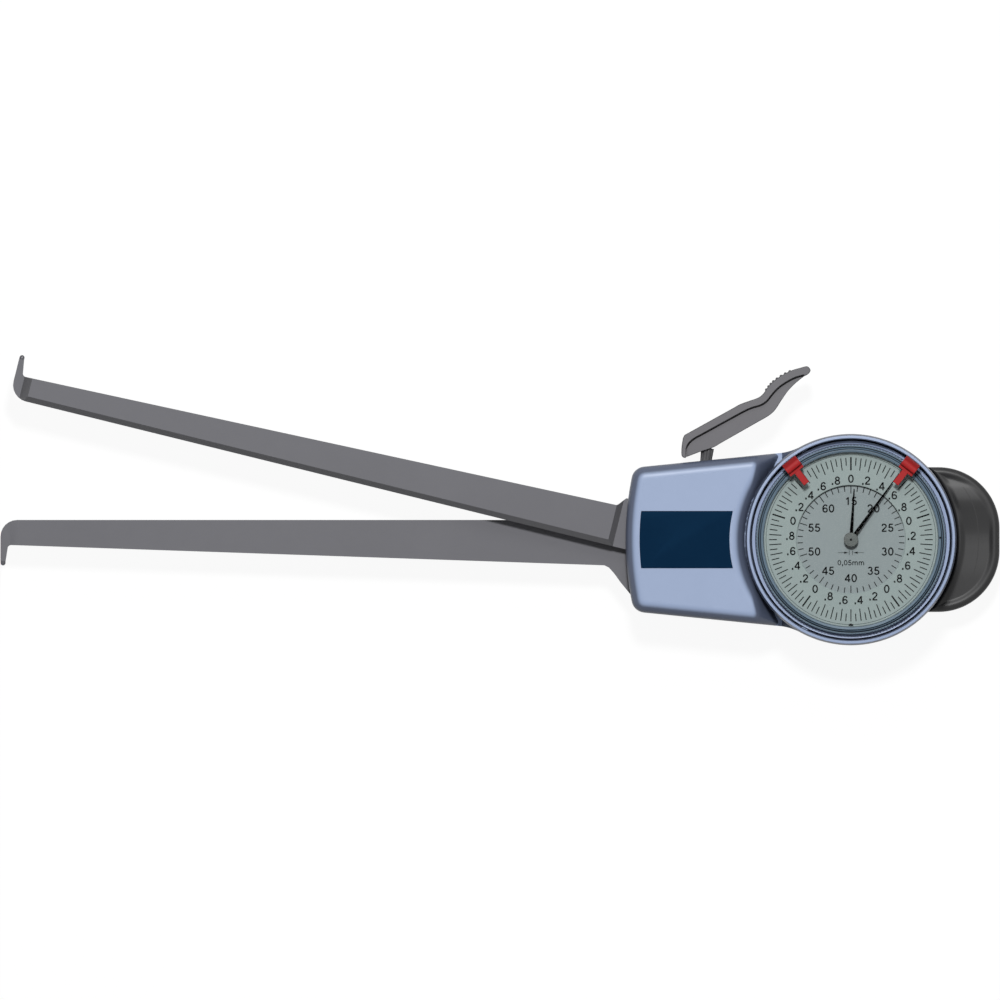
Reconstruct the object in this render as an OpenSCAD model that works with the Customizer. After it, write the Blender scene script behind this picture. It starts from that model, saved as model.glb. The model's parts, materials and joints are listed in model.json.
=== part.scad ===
// Internal caliper gauge with a dial, lying on its back with the dial up.
// X runs from the contacts to the grip, Y from the moving arm to the lever, Z from the grip's
// flat back to the dial. The origin is on the dial's axis, in the plane that the grip lies on.

/* [Casing] */
// Outer radius of the round cup that holds the dial
cup_r = 32.8; // [32.4:0.1:33.6]
// Thickness of the cup's wall
cup_wall = 3.8; // [3.6:0.1:4]
// How far the neck stands out past the cup, to the left
neck_reach = 37.1; // [36.6:0.1:38.2]
// Half height of the neck at its left end
neck_end_half = 22.1; // [21.8:0.1:23]
// How far inside the cup's edge the neck's side lies where it enters the cup
neck_root_in = 5.9; // [5.4:0.1:6.4]
// Radius of the bow in the neck's left end
neck_bow_r = 97; // [90:1:120]
// Radius of the neck's left corners, seen from the front
neck_corner_r = 4.2; // [3.8:0.1:4.8]
// Radius of the rounded edge round the neck's front
pad_fillet = 2.8; // [2.4:0.1:3]
// Thickness of the neck's side walls
wall = 2; // [1.8:0.1:2.2]
// Height of the neck's front face above the seam
pad_rise = 18.8; // [18.6:0.1:19.4]
// Height of the cup's rim above the seam
rim_rise = 21; // [20.9:0.1:21.8]
// Thickness of the rear cover
cover_t = 3; // [2.8:0.1:3.6]

/* [Grip] */
// Thickness of the grip under the rear cover
grip_t = 6.5; // [6.2:0.1:8]
// Height of the thumb rest at the grip's right end
grip_rise = 15.5; // [14.5:0.1:16]
// How far the thumb rest stands out past the cup, to the right
thumb_reach = 13.5; // [12.2:0.1:16.2]
// Distance from the neck's left end to the grip's left end
grip_in = 9.9; // [8:0.1:14]
// Half height of the grip
grip_half = 22.5; // [21.5:0.1:23]
// Radius of the grip's right corners
grip_corner_r = 19; // [16:0.5:20]
// Thickness of the grip's walls
grip_wall = 2.6; // [2.2:0.1:3]

/* [Arms] */
// Distance from the neck's left end to the arms' pivot
pivot_in = 21.9; // [21.5:0.1:22.1]
// Pivot to the moving contact, along the moving arm
moving_reach = 215.3; // [205:0.1:220]
// Pivot to the fixed contact, along the fixed arm
fixed_reach = 216.8; // [206:0.1:222]
// Angle of the fixed arm to the casing, in degrees
fixed_angle = 13.85; // [13.6:0.05:14.2]
// Thickness of the moving arm
moving_arm_t = 4.8; // [4.4:0.1:5]
// Thickness of the fixed arm's bar
fixed_bar_t = 5.8; // [5:0.1:6.2]
// Thickness of the fixed arm's shank in the mouth
shank_t = 3.6; // [3.4:0.1:3.8]
// Height of the moving arm behind its hook
moving_tip_h = 7.8; // [7:0.1:8]
// Height of the fixed arm behind its hook
fixed_tip_h = 7.4; // [7:0.1:8]
// Height of the moving arm outside the mouth
moving_root_h = 14.1; // [13:0.1:14.4]
// Height of the fixed arm outside the mouth
fixed_root_h = 12.7; // [12:0.1:13]
// Radius of a contact's ball
contact_r = 0.8; // [0.7:0.05:0.9]

/* [Lever] */
// Length of the release lever
lever_len = 40; // [38:0.5:42]
// Height of the release lever from heel to tip
lever_h = 29; // [28:0.5:31]
// Width of the lever's thumb flange
lever_flange_w = 9; // [8:0.1:11]
// Width of the lever's web
lever_web_w = 6.4; // [5.4:0.1:7]
// Radius of the stem that carries the lever
stem_r = 1.4; // [1.2:0.1:1.5]

/* [Movement] */
// Teeth that a full circle of the sector would have
sector_teeth = 216;
// Leaves of the first pinion
first_pinion_teeth = 16;
// Teeth of the first wheel
first_wheel_teeth = 64;
// Leaves of the second pinion
second_pinion_teeth = 16;
// Teeth of the second wheel
second_wheel_teeth = 60;
// Leaves of the centre pinion
centre_pinion_teeth = 12;
// Leaves of the pinion that drives the short pointer's wheel
pipe_pinion_teeth = 24;
// Teeth of the short pointer's wheel
pipe_wheel_teeth = 48;
// Radius of the arbors
arbor_r = 0.6; // [0.55:0.05:0.65]
// Thickness of the movement's plates
plate_t = 1; // [0.9:0.1:1.1]

/* [Dial] */
// Distance from the dial's edge to the long pointer's tip
long_pointer_in = 4.92; // [4:0.01:7]
// Distance from the inner disc's edge to the short pointer's tip
short_pointer_in = 1.25; // [0.2:0.05:3]
// Reading of the long pointer at rest, in degrees clockwise from the top
long_pointer_at = 36; // [0:1:359]
// Reading of the short pointer at rest, in degrees clockwise from the top
short_pointer_at = 3.6; // [0:0.1:359]
// Angle from the top to each tolerance marker, in degrees
marker_at = 38.4; // [20:0.1:60]

/* [Hidden] */
$fn = 64;

// Overrun of every cut past the face that it opens
over = 1;
// Gap between pieces that move past each other
gap = 0.3;
// Radial clearance of a shaft in its bearing
run = 0.03;
// Radial clearance of a piece that is pressed or screwed in
seat = 0.02;
// Facets round a fillet's quarter circle
fillet_steps = 5;
// Facets along a corner of an outline
corner_steps = 6;

// Places along X, from the dial's axis
neck_len = cup_r + neck_reach;
pivot_x = neck_len - pivot_in;
grip_left = neck_len - grip_in;
grip_right = cup_r + thumb_reach;

// Levels along Z
case_z = grip_t;
seam_z = grip_t + cover_t;
pad_z = seam_z + pad_rise;
rim_z = seam_z + rim_rise;
arm_plane_rise = 8.1;
arm_plane_z = seam_z + arm_plane_rise;
arm_gap = 0.4;
moving_face_z = arm_plane_z - arm_gap / 2;
fixed_face_z = arm_plane_z + arm_gap / 2;
moving_back_z = moving_face_z - moving_arm_t;
shank_z = fixed_face_z + shank_t;
hub_h = 4.2;
sector_z = moving_face_z + hub_h;
sector_t = 1;
ceiling_drop = 4.2;
ceiling_z = pad_z - ceiling_drop;
pocket_h = 2;
pocket_z = ceiling_z + pocket_h;

// Screws: shank and head radius, and the height of the head
cover_screw = [1.25, 2.3, 1.3];
arm_screw = [1.5, 2.7, 1.4];
bridge_screw = [1, 1.9, 0.5];
small_screw = [0.8, 1.3, 0.6];
tiny_screw = [0.6, 1.1, 0.5];
grip_screw = [1.5, 2.9, 1.6];

function polar(r, a) = [r * cos(a), r * sin(a)];
function arc_points(centre, r, from, to, steps) =
    [for (i = [0 : steps]) centre + polar(r, from + (to - from) * i / steps)];
function lift(points, z) = [for (p = points) [p[0], p[1], z]];
function flipped(p) = [p[0], -p[1]];
function rotated(p, a) = [p[0] * cos(a) - p[1] * sin(a), p[0] * sin(a) + p[1] * cos(a)];
// Where a circle of radius r about p and a circle of radius s about q meet, on the left of p to q
function circles_meet(p, r, q, s) =
    let (d = norm(q - p), along = (r * r - s * s + d * d) / (2 * d),
         across = sqrt(r * r - along * along), u = (q - p) / d)
    p + along * u + across * [-u[1], u[0]];
// A smooth curve through points: a Catmull-Rom spline with the ends repeated
function spline_point(a, b, c, d, t) =
    (2 * b + (c - a) * t + (2 * a - 5 * b + 4 * c - d) * t * t
     + (3 * b - a - 3 * c + d) * t * t * t) / 2;
function smooth(points, steps) =
    [for (i = [0 : len(points) - 2], k = [0 : steps - 1])
        spline_point(points[max(i - 1, 0)], points[i], points[i + 1],
                     points[min(i + 2, len(points) - 1)], k / steps),
     points[len(points) - 1]];
function scaled_points(shares, size) = [for (s = shares) [s[0] * size[0], s[1] * size[1]]];

// A solid through rings of equal length, the lowest first, each counterclockwise from above
module loft(rings) {
    n = len(rings[0]);
    last = len(rings) - 1;
    polyhedron(
        points = [for (r = rings) each r],
        faces = concat(
            [[for (i = [0 : n - 1]) i]],
            [[for (i = [n - 1 : -1 : 0]) last * n + i]],
            [for (k = [0 : last - 1], i = [0 : n - 1])
                let (j = (i + 1) % n, low = k * n, high = low + n)
                each [[low + i, high + i, high + j], [low + i, high + j, low + j]]]),
        convexity = 6);
}

// A countersunk screw pointing up, with its head flush at z = 0
module flush_screw(screw, length) {
    cylinder(r = screw[0], h = length);
    cylinder(r1 = screw[1], r2 = screw[0], h = screw[2]);
}

// The hole for a countersunk screw
module flush_hole(screw, length, clearance) {
    translate([0, 0, -over]) cylinder(r = screw[0] + clearance, h = length + over);
    cylinder(r1 = screw[1] + clearance, r2 = screw[0] + clearance, h = screw[2]);
    translate([0, 0, -over]) cylinder(r = screw[1] + clearance, h = over);
}

// A cap screw pointing down, with its head standing on z = 0
module cap_screw(screw, length) {
    translate([0, 0, -length]) cylinder(r = screw[0], h = length);
    difference() {
        cylinder(r = screw[1], h = screw[2]);
        translate([-screw[1], -screw[0] / 4, screw[2] / 2])
            cube([2 * screw[1], screw[0] / 2, screw[2]]);
    }
}

// The neck's outline
neck_root_x = 22;
neck_inner_x = 12;
neck_root_half = cup_r - neck_root_in;
neck_slope = atan((neck_root_half - neck_end_half) / (neck_len - neck_root_x));
neck_bow_x = neck_bow_r - neck_len;
// Half height of the neck at x
function neck_half(x) = neck_end_half + tan(neck_slope) * (x + neck_len);
// Centre of the neck's upper left corner: below the side, and inside the bow
function neck_corner() =
    let (t = tan(neck_slope), q = neck_bow_r - neck_corner_r,
         a = neck_half(neck_bow_x) - neck_corner_r / cos(neck_slope),
         u = (-a * t - sqrt(a * a * t * t - (1 + t * t) * (a * a - q * q))) / (1 + t * t))
    [neck_bow_x + u, a + t * u];
neck_bow_angle = atan2(neck_corner()[1], neck_corner()[0] - neck_bow_x);
function reversed(points) = [for (i = [len(points) - 1 : -1 : 0]) points[i]];
function middle(points) = [for (i = [1 : len(points) - 2]) points[i]];
// The neck's outline, drawn in by inset, counterclockwise from its upper right
function neck_outline(inset) =
    let (c = neck_corner(), r = neck_corner_r - inset,
         end = [-neck_inner_x, neck_half(-neck_inner_x) - inset / cos(neck_slope)])
    concat(
        [end],
        arc_points(c, r, 90 + neck_slope, neck_bow_angle, corner_steps),
        middle(arc_points([neck_bow_x, 0], neck_bow_r - inset, neck_bow_angle,
                          360 - neck_bow_angle, corner_steps * 2)),
        arc_points([c[0], -c[1]], r, 360 - neck_bow_angle, 270 - neck_slope, corner_steps),
        [flipped(end)]);

// The casing's whole outline in the plane, drawn in by inset
module case_outline(inset) {
    polygon(neck_outline(inset));
    circle(r = cup_r - inset);
}

// The cup: its bore, the chamfer inside its rim and the rounding outside it
bore_r = cup_r - cup_wall;
rim_flat_r = cup_r - cup_wall / 2;
rim_round = 0.9;
rim_chamfer_h = rim_flat_r - bore_r;

// The valley between the neck's front and the cup
valley_w = 1;
valley_z = pad_z - pad_fillet;

// The mouth that the arms come out of
mouth_top = 14.6;
mouth_bottom = 17.8;
mouth_seal_t = 0.7;
mouth_back_z = moving_back_z - gap - mouth_seal_t;
mouth_front_z = shank_z + gap + mouth_seal_t;

// The stem and its slot through the neck's upper side
stem_z = moving_face_z + hub_h / 2;
stem_lean = 7.1;
lever_heel_x = 4.5;
lever_lift = 0.956;
lever_heel_y = neck_half(-pivot_x - lever_heel_x) + lever_lift;
sleeve_t = 0.55;
sleeve_r = stem_r + sleeve_t;
close_angle = 13.6;
slot_half = sleeve_r + 2 * gap;
slot_from = lever_heel_y * tan(stem_lean) - slot_half;
slot_to = (lever_heel_y + 2 * gap) * tan(stem_lean + close_angle) + slot_half;
slot_seal_t = 0.5;
// The slot's cut runs through the wall wherever the neck's side lies
slot_low = min(neck_end_half, neck_root_half) - 2 * wall;
slot_high = max(neck_end_half, neck_root_half) + over;

// Bosses in the neck
pivot = [-pivot_x, 0];
arm_hub_r = 7;
pivot_r = 2.5;
pivot_boss_r = 3.9;
pivot_boss_z = sector_z + sector_t + 0.7;
bridge_boss_r = 2.2;
bridge_boss_edge = bridge_boss_r + gap;
bridge_t = 1.7;
bridge_z = seam_z + 2 * gap;
bridge_out = 9;
bridge_in = 1;
bridge_screw_deep = 5;
pivot_seat_deep = 1.9;
function inside_wall(x, edge) = [x, neck_half(x) - wall - edge];
bridge_upper = inside_wall(-pivot_x - bridge_out, bridge_boss_edge);
bridge_lower = flipped(inside_wall(-pivot_x + bridge_in, bridge_boss_edge));
cover_boss_r = 2.6;
cover_boss_in = 7.4;
cover_boss_edge = 1.3;
neck_boss_x = -neck_len + cover_boss_in;
cup_boss_angle = 50;
cup_boss_edge = 1.6;
cup_boss_at = bore_r - cup_boss_edge;
cup_boss_h = 3;
cover_screw_len = 5.8;
cover_screw_at = [
    inside_wall(neck_boss_x, cover_boss_edge),
    flipped(inside_wall(neck_boss_x, cover_boss_edge)),
    polar(cup_boss_at, cup_boss_angle),
    polar(cup_boss_at, -cup_boss_angle)
];

// The fixed arm's screws, along and across the arm from the pivot
arm_screw_len = 7;
arm_screw_at = [[14.2, 5.4], [14.2, -4]];
arm_boss_r = 3;
// A point given along and across the fixed arm, in the casing's plane
function on_fixed_arm(p) = pivot + rotated([-p[0], p[1]], -fixed_angle);

// Where the movement hangs in the cup
ear_angles = [0, 110, 250];
ear_edge = 2;
ear_at = bore_r - ear_edge;
ear_w = 6.5;
front_plate_rise = 2.6;
front_plate_z = sector_z + front_plate_rise;
lug_h = 3.4;
lug_in = 4.6;

// Where the return spring and the arm's stop are held
spring_pin_r = 1;
spring_out = 14.5;
spring_down = 15;
spring_anchor = pivot + [spring_out, -spring_down];
spring_anchor_deep = 1.6;
stop_r = 1.2;
stop_along = 0.5;

// The name plate on the neck's front
plate_in = 4.8;
plate_half = 8.85;
plate_gap_r = 4.9;
plate_deep = 0.3;
plate_high = 0.5;
plate_bow_r = 78;
module name_plate_outline(inset) {
    difference() {
        intersection() {
            translate([-neck_len + plate_in, inset - plate_half])
                square([neck_len - plate_in - bore_r, 2 * (plate_half - inset)]);
            translate([plate_bow_r + plate_in - neck_len, 0]) circle(r = plate_bow_r - inset);
        }
        circle(r = cup_r + plate_gap_r + inset);
    }
}

module neck_solid() {
    top = [for (k = [0 : fillet_steps])
        let (a = 90 * k / fillet_steps)
        lift(neck_outline(pad_fillet * (1 - cos(a))), pad_z - pad_fillet * (1 - sin(a)))];
    loft(concat([lift(neck_outline(0), seam_z)], top));
}

// The cup's solid, from the seam to the rim, with the rim's outer edge rounded
module cup_solid() {
    rounding = [for (k = [0 : fillet_steps])
        let (a = 90 * k / fillet_steps)
        [cup_r - rim_round * (1 - cos(a)), rim_z - rim_round * (1 - sin(a))]];
    rotate_extrude()
        polygon(concat([[0, seam_z], [cup_r, seam_z]], rounding, [[0, rim_z]]));
}

// The cut that leaves a rounded edge on the neck beside the cup
module valley_cut() {
    edge_r = cup_r + valley_w;
    rounding = [for (k = [0 : fillet_steps])
        let (a = 90 * k / fillet_steps)
        [edge_r + pad_fillet * (1 - cos(a)), pad_z - pad_fillet * (1 - sin(a))]];
    rotate_extrude()
        polygon(concat([[cup_r - over, valley_z]], rounding,
                       [[edge_r + pad_fillet, pad_z + over], [cup_r - over, pad_z + over]]));
}

module cavity() {
    translate([0, 0, seam_z - over]) linear_extrude(ceiling_z - seam_z + over)
        polygon(neck_outline(wall));
    translate([-neck_len + 2 * wall, -plate_half * 2, ceiling_z - over])
        cube([neck_len - 2 * wall - cup_r - valley_w - pad_fillet, plate_half * 4, pocket_h + over]);
    translate([0, 0, seam_z - over]) cylinder(r = bore_r, h = rim_z - seam_z + 2 * over);
    translate([0, 0, rim_z - rim_chamfer_h])
        cylinder(r1 = bore_r, r2 = rim_flat_r + over, h = rim_chamfer_h + over);
}

// The space of the mouth, drawn in by inset
module mouth_space(inset, from, to) {
    translate([from, -mouth_bottom + inset, mouth_back_z + inset])
        cube([to - from, mouth_top + mouth_bottom - 2 * inset,
              mouth_front_z - mouth_back_z - 2 * inset]);
}

// The space of the stem's slot, drawn in by inset
module slot_space(inset, from, to) {
    half = slot_half + slot_seal_t - inset;
    translate([-pivot_x + slot_from - slot_seal_t + inset, from, stem_z - half])
        cube([slot_to - slot_from + 2 * (slot_seal_t - inset), to - from, 2 * half]);
}

module casing_bosses() {
    for (p = [cover_screw_at[0], cover_screw_at[1]])
        translate([p[0], p[1], seam_z]) cylinder(r = cover_boss_r, h = ceiling_z - seam_z + seat);
    for (p = [cover_screw_at[2], cover_screw_at[3]])
        translate([p[0], p[1], seam_z]) cylinder(r = cover_boss_r, h = cup_boss_h);
    for (p = [bridge_upper, bridge_lower])
        translate([p[0], p[1], bridge_z + bridge_t])
            cylinder(r = bridge_boss_r, h = ceiling_z - bridge_z - bridge_t + seat);
    for (p = arm_screw_at)
        translate([on_fixed_arm(p)[0], on_fixed_arm(p)[1], shank_z])
            cylinder(r = arm_boss_r, h = pocket_z - shank_z + seat);
    translate([-pivot_x, 0, pivot_boss_z]) cylinder(r = pivot_boss_r, h = pocket_z - pivot_boss_z + seat);
    for (a = ear_angles)
        rotate(a) translate([bore_r - lug_in, -ear_w / 2, front_plate_z - lug_h])
            cube([lug_in + cup_wall / 2, ear_w, lug_h]);
}

module front_casing() {
    color("#8fa3c9") difference() {
        union() {
            difference() {
                union() {
                    difference() {
                        neck_solid();
                        valley_cut();
                    }
                    cup_solid();
                }
                cavity();
                mouth_space(0, -neck_len - over, -neck_len + wall + over * 2);
                slot_space(0, slot_low, slot_high);
                translate([0, 0, pad_z - plate_deep]) linear_extrude(plate_deep + over)
                    name_plate_outline(-seat);
            }
            intersection() {
                casing_bosses();
                union() {
                    translate([0, 0, seam_z]) linear_extrude(pocket_z - seam_z + seat)
                        polygon(neck_outline(wall / 2));
                    translate([0, 0, seam_z]) cylinder(r = cup_r - wall / 2, h = rim_rise);
                }
            }
        }
        for (p = cover_screw_at)
            translate([p[0], p[1], seam_z - over])
                cylinder(r = cover_screw[0] + seat, h = cover_screw_len - cover_t + 2 * over);
        for (p = [bridge_upper, bridge_lower])
            translate([p[0], p[1], bridge_z + bridge_t - over])
                cylinder(r = bridge_screw[0] + seat, h = bridge_screw_deep + 2 * over);
        for (p = arm_screw_at)
            translate([on_fixed_arm(p)[0], on_fixed_arm(p)[1], shank_z - over])
                cylinder(r = arm_screw[0] + seat, h = arm_screw_len - shank_t + 2 * over);
        translate([-pivot_x, 0, pivot_boss_z - over])
            cylinder(r = pivot_r + seat, h = pivot_seat_deep + over);
        for (a = ear_angles)
            rotate(a) translate([ear_at, 0, front_plate_z - lug_h - over])
                cylinder(r = small_screw[0] + seat, h = lug_h + 2 * over);
        translate([spring_anchor[0], spring_anchor[1], ceiling_z - over])
            cylinder(r = spring_pin_r + seat, h = spring_anchor_deep + over + seat);
        rotate_extrude() retainer_section(bore_r - over, retainer_out + retainer_play, retainer_play);
    }
}

// The seal in the seam follows the casing's outline inside the screws' edge
seal_in = 0.6;
seal_w = 0.7;
seal_h = 0.8;
module seal_ring(slack) {
    difference() {
        case_outline(seal_in - slack);
        case_outline(seal_in + seal_w + slack);
    }
}

module cover_seal() {
    color("#1c1c1e") translate([0, 0, seam_z - seal_h]) linear_extrude(seal_h) seal_ring(0);
}

cover_round = 1.6;
grip_screw_in = 26;
grip_screw_at = [grip_screw_in - grip_left, grip_right - grip_screw_in];
module rear_cover() {
    edge = [for (k = [0 : fillet_steps])
        let (a = 90 * k / fillet_steps)
        [cover_round * (1 - sin(a)), cover_round * (1 - cos(a))]];
    color("#6d7f9f") difference() {
        union() {
            loft(concat(
                [for (e = edge) lift(neck_outline(e[0]), case_z + e[1])],
                [lift(neck_outline(0), seam_z)]));
            rotate_extrude() polygon(concat(
                [[0, case_z]],
                [for (e = edge) [cup_r - e[0], case_z + e[1]]],
                [[cup_r, seam_z], [0, seam_z]]));
            for (x = grip_screw_at)
                translate([x, 0, seam_z - seat]) cylinder(r = cover_boss_r, h = over);
        }
        translate([0, 0, seam_z - seal_h]) linear_extrude(seal_h + over) seal_ring(seat);
        for (p = cover_screw_at)
            translate([p[0], p[1], case_z]) flush_hole(cover_screw, cover_t + over, seat);
        for (x = grip_screw_at)
            translate([x, 0, case_z - over])
                cylinder(r = grip_screw[0] + seat, h = cover_t + 2 * over + seat);
    }
}

module cover_screws() {
    color("#b9bbbf") for (p = cover_screw_at)
        translate([p[0], p[1], case_z]) flush_screw(cover_screw, cover_screw_len);
}

module name_plate() {
    color("#072743") translate([0, 0, pad_z - plate_deep]) linear_extrude(plate_high)
        name_plate_outline(0);
}

module mouth_seal() {
    color("#1c1c1e") difference() {
        intersection() {
            mouth_space(seat, -neck_len - over, -neck_len + wall + gap);
            translate([0, 0, mouth_back_z]) linear_extrude(mouth_front_z - mouth_back_z)
                polygon(neck_outline(gap));
        }
        mouth_space(mouth_seal_t, -neck_len - 2 * over, -neck_len + wall + over);
    }
}

module slot_seal() {
    color("#1c1c1e") difference() {
        intersection() {
            slot_space(seat, slot_low, slot_high);
            translate([0, 0, case_z]) linear_extrude(pad_z - case_z) difference() {
                polygon(neck_outline(gap));
                polygon(neck_outline(wall));
            }
        }
        slot_space(slot_seal_t, slot_low - over, slot_high + over);
    }
}

// The grip: a shell under the cover, with a thumb rest that stands up past the cup
grip_left_r = 9;
grip_floor = 2.4;
grip_round = 3;
grip_top_round = 1.6;
grip_rim_w = 2.2;
grip_dish = 2.6;
grip_boss_r = 4.2;
function grip_outline(inset) =
    let (right = grip_right - grip_corner_r, up = grip_half - grip_corner_r,
         left = grip_left_r - grip_left, left_up = grip_half - grip_left_r)
    concat(
        arc_points([right, up], grip_corner_r - inset, 0, 90, corner_steps * 2),
        arc_points([left, left_up], grip_left_r - inset, 90, 180, corner_steps),
        arc_points([left, -left_up], grip_left_r - inset, 180, 270, corner_steps),
        arc_points([right, -up], grip_corner_r - inset, 270, 360, corner_steps * 2));

module grip() {
    foot = [for (k = [0 : fillet_steps])
        let (a = 90 * k / fillet_steps)
        lift(grip_outline(grip_round * (1 - sin(a))), grip_round * (1 - cos(a)))];
    head = [for (k = [0 : fillet_steps])
        let (a = 90 * k / fillet_steps)
        lift(grip_outline(grip_top_round * (1 - cos(a))), grip_rise - grip_top_round * (1 - sin(a)))];
    dish_half = grip_half - grip_rim_w;
    dish_r = (dish_half * dish_half + grip_dish * grip_dish) / (2 * grip_dish);
    color("#2b2b2d") difference() {
        union() {
            difference() {
                loft(concat(foot, head));
                translate([-grip_left - over, -grip_half - over, grip_t])
                    cube([grip_left + over, 2 * (grip_half + over), grip_rise]);
                translate([0, 0, grip_t]) cylinder(r = cup_r + gap, h = grip_rise);
                intersection() {
                    translate([0, 0, grip_floor]) linear_extrude(grip_t - grip_floor + over)
                        polygon(grip_outline(grip_wall));
                    translate([-grip_left, -grip_half, 0])
                        cube([grip_left + cup_r - grip_wall, 2 * grip_half, grip_rise]);
                }
                intersection() {
                    translate([0, 0, grip_t]) linear_extrude(grip_rise)
                        polygon(grip_outline(grip_rim_w));
                    translate([cup_r / 2, 0, grip_rise - grip_dish + dish_r]) rotate([0, 90, 0])
                        cylinder(r = dish_r, h = grip_right, $fn = 160);
                    difference() {
                        translate([0, 0, grip_t]) cylinder(r = 2 * grip_right, h = grip_rise);
                        translate([0, 0, grip_t - over])
                            cylinder(r = cup_r + grip_rim_w, h = grip_rise + 2 * over);
                    }
                }
            }
            for (x = grip_screw_at)
                translate([x, 0, grip_floor - seat])
                    cylinder(r = grip_boss_r, h = grip_t - grip_floor + seat);
        }
        for (x = grip_screw_at)
            translate([x, 0, grip_head_deep]) flush_hole(grip_screw, grip_t, gap);
        for (x = grip_screw_at)
            translate([x, 0, -over]) cylinder(r = grip_screw[1] + gap, h = grip_head_deep + over);
    }
}

grip_head_deep = 0.6;
grip_screw_len = 8.6;
module grip_screws() {
    color("#b9bbbf") for (x = grip_screw_at)
        translate([x, 0, grip_head_deep]) flush_screw(grip_screw, grip_screw_len);
}

// The arms, drawn from the pivot: x runs towards the contact, y towards the side that it points to
mouth_reach = neck_len - pivot_x;
moving_back = 6.1;
fixed_back = 8.2;
tip_round = 5.2;
hook_w = 1.6;
hook_root_w = 2.2;
hook_fillet = 1.1;
hook_h = 4.95;
contact_h = 1.4;
hook_t = 2;
hook_slope = 2.5;
edge_bevel = 1.7;
// The hooked end, from the back edge round to the edge that the contact points away from
function hook_points(reach, back, tip_h) =
    let (outer = reach + hook_w / 2, top = tip_h - back)
    concat(
        arc_points([outer - tip_round, tip_round - back], tip_round, 270, 360, corner_steps),
        [[outer, top + hook_h], [reach - hook_w / 2, top + hook_h]],
        arc_points([outer - hook_root_w - hook_fillet, top + hook_fillet], hook_fillet,
                   360, 270, corner_steps));

// The flare where an arm enters the mouth: shares of the flare's length and height
flare_shares = [[1, 0], [0.82, 0.08], [0.62, 0.28], [0.38, 0.58], [0, 1]];
flare_len = 8;

// The moving arm's root: a plate that narrows to the hub, with an ear for the spring
moving_flare_h = 8.9;
moving_root_in = 1.4;
moving_root_x = mouth_reach - moving_root_in;
plate_r = 8;
ear_reach = 13.4;
ear_r = 2.4;
ear_w_in = 0.3;
ear_angle = 94;
module moving_arm_outline() {
    side = moving_root_h - moving_back;
    polygon(concat(
        [[0, -moving_back]],
        hook_points(moving_reach, moving_back, moving_tip_h),
        [for (s = flare_shares) [moving_root_x + s[0] * flare_len, side + s[1] * moving_flare_h]],
        [[moving_root_x - flare_len / 4, side + moving_flare_h], [0, plate_r]]));
    circle(r = plate_r);
    rotate(ear_angle) {
        translate([0, ear_w_in - ear_r]) square([ear_reach, 2 * (ear_r - ear_w_in)]);
        translate([ear_reach, 0]) circle(r = ear_r);
    }
}

module moving_arm() {
    color("#6f6e73") translate([-pivot_x, 0, moving_face_z]) rotate(180) difference() {
        intersection() {
            translate([0, 0, -moving_arm_t]) linear_extrude(moving_arm_t) moving_arm_outline();
            rotate([90, 0, 0]) translate([0, 0, -mouth_reach * 2]) linear_extrude(mouth_reach * 4)
                polygon([[-mouth_reach, 0],
                         [moving_reach - hook_root_w - hook_slope, 0],
                         [moving_reach - hook_root_w, -hook_t / 4],
                         [moving_reach + over * 2, -hook_t / 4],
                         [moving_reach + over * 2, -hook_t * 5 / 4],
                         [moving_reach - hook_root_w, -hook_t * 5 / 4],
                         [moving_reach - hook_root_w - hook_slope, -moving_arm_t],
                         [-mouth_reach, -moving_arm_t]]);
        }
        back_bevel(moving_back, mouth_reach + flare_len / 2, moving_reach, -moving_arm_t);
        translate([0, 0, -moving_arm_t - over]) cylinder(r = bush_r + seat, h = moving_arm_t + 2 * over);
        for (a = hub_screw_angles)
            rotate(a - 180) translate([hub_screw_at, 0, -hub_screw_deep])
                cylinder(r = small_screw[0] + seat, h = hub_screw_deep + over);
        rotate(ear_angle) translate([ear_reach, 0, -moving_arm_t - over])
            cylinder(r = spring_pin_r + seat, h = moving_arm_t + 2 * over);
        translate([moving_reach, moving_tip_h - moving_back + hook_h - contact_seat, -hook_t * 3 / 4])
            rotate([-90, 0, 0]) cylinder(r = contact_seat_r + seat, h = contact_seat + over);
    }
}

// A prism that bevels an arm's back edge, on the face at z
module back_bevel(back, from, to, z) {
    translate([from, -back, z]) rotate([90, 0, 90]) linear_extrude(to - from + over * 2)
        polygon([[-over, -over], [edge_bevel + over, -over], [-over, edge_bevel + over]]);
}

// The fixed arm: a bar outside the mouth, a thinner shank in it and a plate behind it
fixed_flare_h = 2.8;
fixed_flare_len = 2.6;
fixed_root_out = 2.2;
fixed_root_x = mouth_reach + fixed_root_out;
fixed_plate_gap = 1.6;
fixed_plate_x = arm_hub_r + fixed_plate_gap;
bar_out = 2.8;
bar_from = mouth_reach + bar_out;
bar_slope = 1.8;
module fixed_arm_outline() {
    side = fixed_root_h - fixed_back;
    polygon(concat(
        [[fixed_plate_x, -fixed_back]],
        hook_points(fixed_reach, fixed_back, fixed_tip_h),
        [for (s = flare_shares)
            [fixed_root_x + s[0] * fixed_flare_len, side + s[1] * fixed_flare_h]],
        [[fixed_plate_x, side + fixed_flare_h]]));
}

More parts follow.
